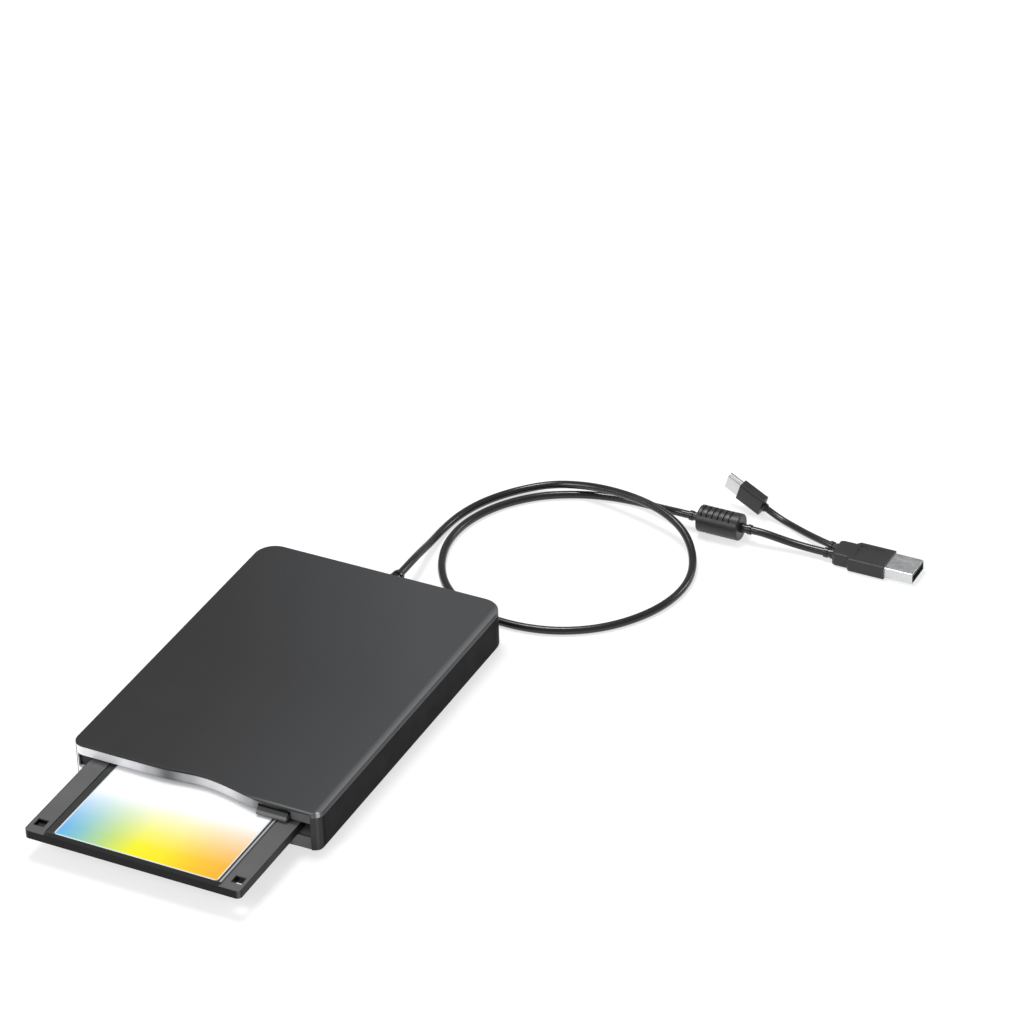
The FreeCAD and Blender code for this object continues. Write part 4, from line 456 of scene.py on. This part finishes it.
def finishes():
    black = {"dark": (0.012, 0.012, 0.013), "light": (0.022, 0.022, 0.024)}
    return {
        "case_plastic": case_finish(),
        "bezel_silver": bezel_finish(),
        "cover_plastic": cover_finish(),
        "lens": moulded("lens_frosted", (0.35, 0.40, 0.36), (0.5, 0.55, 0.5), 0.25, 0.5, coat=0.4),
        "button_plastic": button_finish(),
        "ferrite_plastic": moulded("ferrite_black", (0.014, 0.014, 0.015), (0.020, 0.020, 0.021), 0.36, 0.45,
                                   grain=1400, depth=0.012, edge=0.3),
        "foot_rubber": moulded("foot_rubber", roughness=0.75, specular=0.25, grain=900, depth=0.06, **black),
        "sheet_steel": metal("zinc_sheet", (0.26, 0.27, 0.28), (0.36, 0.37, 0.38), 0.48, (1, 12, 1), 260),
        "bright_steel": metal("bright_steel", (0.42, 0.43, 0.44), (0.52, 0.53, 0.54), 0.30),
        "board_green": board_finish(),
        "part_black": moulded("part_black", roughness=0.55, specular=0.35, edge=0.15, **black),
        "flex_film": moulded("flex_amber", (0.45, 0.20, 0.03), (0.60, 0.30, 0.05), 0.25, 0.6, edge=0.0),
        "magnet_black": metal("magnet_ferrite", (0.05, 0.05, 0.05), (0.08, 0.08, 0.08), 0.5),
        "winding_copper": metal("winding_copper", (0.45, 0.17, 0.07), (0.70, 0.30, 0.13), 0.3,
                                (8, 1, 1), 300),
        "bearing_brass": metal("bearing_brass", (0.55, 0.42, 0.18), (0.70, 0.55, 0.26), 0.28),
        "disk_plastic": disk_finish(),
        "shutter_metal": metal("shutter_aluminium", (0.44, 0.45, 0.46), (0.52, 0.53, 0.54), 0.42,
                               (1, 14, 1), 300, edge=0.1, depth=0.002),
        "label_paper": label_finish(),
        "liner_fabric": woven_finish(),
        "media_film": film_finish(),
        "head_ceramic": moulded("head_ceramic", (0.62, 0.60, 0.54), (0.75, 0.73, 0.67), 0.2, 0.6),
        "carriage_metal": metal("carriage_cast", (0.34, 0.35, 0.36), (0.46, 0.47, 0.48), 0.46, grain=900),
        "cable_rubber": moulded("cable_black", (0.009, 0.009, 0.010), (0.014, 0.014, 0.015), 0.24, 0.5,
                                grain=2600, depth=0.003, edge=0.0),
        "grip_plastic": moulded("grip_black", (0.020, 0.020, 0.021), (0.030, 0.030, 0.031), 0.42, 0.35,
                                edge=0.3),
        "plug_steel": metal("plug_nickel", (0.62, 0.63, 0.64), (0.66, 0.67, 0.68), grain=400, depth=0.001),
    }


def dress_nodes(finish_of):
    for part in frame["record"]["subparts"]:
        name = part["node"]
        finish = finish_of[OWN_FINISH.get(name, part["material_slot"])]
        materials = NODES[name].data.materials
        materials.clear()
        materials.append(finish.material)


# ---------------------------------------------------------------------------------------------
# Cords
# ---------------------------------------------------------------------------------------------

# Corners of the cords in mm: x, y behind the tip of the strain relief, and the height from the floor.
RELIEF_TIP = 87.0
CABLE_ROUTE = (
    (0.0, 0.0, 8.5), (0.0, 10.0, 8.5), (-1.5, 21.0, 6.2), (-3.2, 33.0, 3.2), (-4.3, 45.5, 1.65),
    (-2.9, 58.0, 1.65), (1.6, 70.8, 1.65), (10.0, 82.8, 1.8), (22.2, 90.8, 3.4), (36.8, 91.6, 6.0),
    (50.5, 89.4, 8.2), (64.0, 86.4, 9.2), (76.8, 82.4, 8.7), (87.6, 76.6, 6.4), (95.5, 67.6, 3.6),
    (100.4, 56.0, 1.9), (101.5, 43.0, 1.65), (98.6, 29.4, 1.65), (91.6, 16.4, 1.65), (81.0, 5.3, 1.65),
    (66.5, -2.3, 1.65), (49.5, -4.8, 1.65), (32.5, -2.3, 1.65), (17.6, 6.6, 1.65), (7.0, 20.5, 1.65),
    (1.2, 37.5, 1.65), (1.7, 54.5, 1.65), (8.4, 70.5, 1.65), (20.0, 83.2, 1.65), (34.5, 90.8, 1.65),
    (47.0, 94.1, 1.65), (57.5, 94.9, 1.7), (65.5, 93.3, 2.7), (72.3, 90.6, 4.6), (78.4, 88.8, 6.0),
    (84.5, 88.8, 6.0))
LEAD_ROUTE = ((111.3, 88.8, 6.0), (116.8, 88.8, 6.0), (126.0, 90.0, 3.9), (134.5, 90.4, 2.95),
              (142.2, 90.4, 2.95))
PIGTAIL_ROUTE = ((142.4, 96.0, 2.95), (137.1, 97.4, 2.95), (129.3, 101.0, 2.1), (121.5, 104.9, 1.4),
                 (114.7, 107.3, 1.8), (108.9, 108.3, 4.1))
CABLE_DIAMETER = 3.2
PIGTAIL_DIAMETER = 2.7
CORD_ROUNDNESS = 6
CORD_STEPS = 10
CORD_ORDER = 3


def spot(place):
    """A route's corner in the frame of the part, in metres."""
    x, y, z = place
    return x * MM, (y + RELIEF_TIP) * MM, z * MM


def cord(name, route, diameter, finish, *nodes):
    data = bpy.data.curves.new(name, "CURVE")
    data.dimensions = "3D"
    data.bevel_depth = diameter / 2 * MM
    data.bevel_resolution = CORD_ROUNDNESS
    data.resolution_u = CORD_STEPS
    data.use_fill_caps = True
    line = data.splines.new("NURBS")
    line.points.add(len(route) - 1)
    for knot, place in zip(line.points, route):
        knot.co = (*spot(place), 1.0)
    line.order_u = CORD_ORDER
    line.use_endpoint_u = True
    data.materials.append(finish.material)
    piece = bpy.data.objects.new(name, data)
    SCENE.collection.objects.link(piece)
    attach(piece, "case")
    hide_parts(*nodes)
    return piece


def make_cords(finish):
    """The cable runs on through its ferrite to the big plug, and the short lead leaves that plug."""
    cable = cord("main_cord", CABLE_ROUTE + LEAD_ROUTE, CABLE_DIAMETER, finish, "usb_cable", "plug_lead")
    pigtail = cord("pigtail_cord", PIGTAIL_ROUTE, PIGTAIL_DIAMETER, finish, "pigtail_cable")


# ---------------------------------------------------------------------------------------------
# Floor and light
# ---------------------------------------------------------------------------------------------

WHITE = (1.0, 1.0, 1.0, 1.0)
FLOOR_HALF_SIDE = 6.0
FLOOR_GLOW = 0.66
WORLD_STRENGTH = 0.40
# Each light: its place, what it points at, its width in metres and its power in watts.
LIGHTS = {
    "key": ((-0.28, 0.34, 1.55), (0.02, 0.05, 0.0), 0.6, 17.0),
    "fill": ((-0.9, -1.1, 0.9), (0.0, -0.05, 0.0), 0.8, 12.0),
    "rim": ((0.85, 1.15, 0.62), (0.0, 0.05, 0.0), 0.45, 3.0),
}


def make_floor():
    """A pale sheet that glows faintly, as a lit table does."""
    data = bpy.data.meshes.new("floor")
    side = FLOOR_HALF_SIDE
    data.from_pydata([(-side, -side, 0), (side, -side, 0), (side, side, 0), (-side, side, 0)], [],
                     [(0, 1, 2, 3)])
    finish = Finish("floor_paper", 0.8, specular=0.1)
    cloud = finish.span(finish.noise(3, 2), *NOISE_MOST)
    finish.colour(finish.mix(cloud, (0.37, 0.37, 0.37), (0.39, 0.39, 0.39)))
    finish.shader.inputs["Emission Color"].default_value = WHITE
    finish.shader.inputs["Emission Strength"].default_value = FLOOR_GLOW
    data.materials.append(finish.material)
    floor = bpy.data.objects.new("floor", data)
    SCENE.collection.objects.link(floor)


def area_light(name, place, target, size, power):
    data = bpy.data.lights.new(name, "AREA")
    data.shape = "DISK"
    data.size = size
    data.energy = power
    light = bpy.data.objects.new(name, data)
    light.location = place
    light.rotation_euler = (Vector(target) - Vector(place)).to_track_quat("-Z", "Y").to_euler()
    SCENE.collection.objects.link(light)


def make_light():
    world = bpy.data.worlds.new("studio")
    SCENE.world = world
    world.use_nodes = True
    background = world.node_tree.nodes["Background"]
    background.inputs["Color"].default_value = WHITE
    background.inputs["Strength"].default_value = WORLD_STRENGTH
    for name, settings in LIGHTS.items():
        area_light(name, *settings)
    SCENE.view_settings.view_transform = "Standard"
    SCENE.view_settings.look = "None"


# ---------------------------------------------------------------------------------------------
# The scene
# ---------------------------------------------------------------------------------------------

make_camera()
FINISHES = finishes()
dress_nodes(FINISHES)
make_cords(FINISHES["cable_rubber"])
make_floor()
make_light()
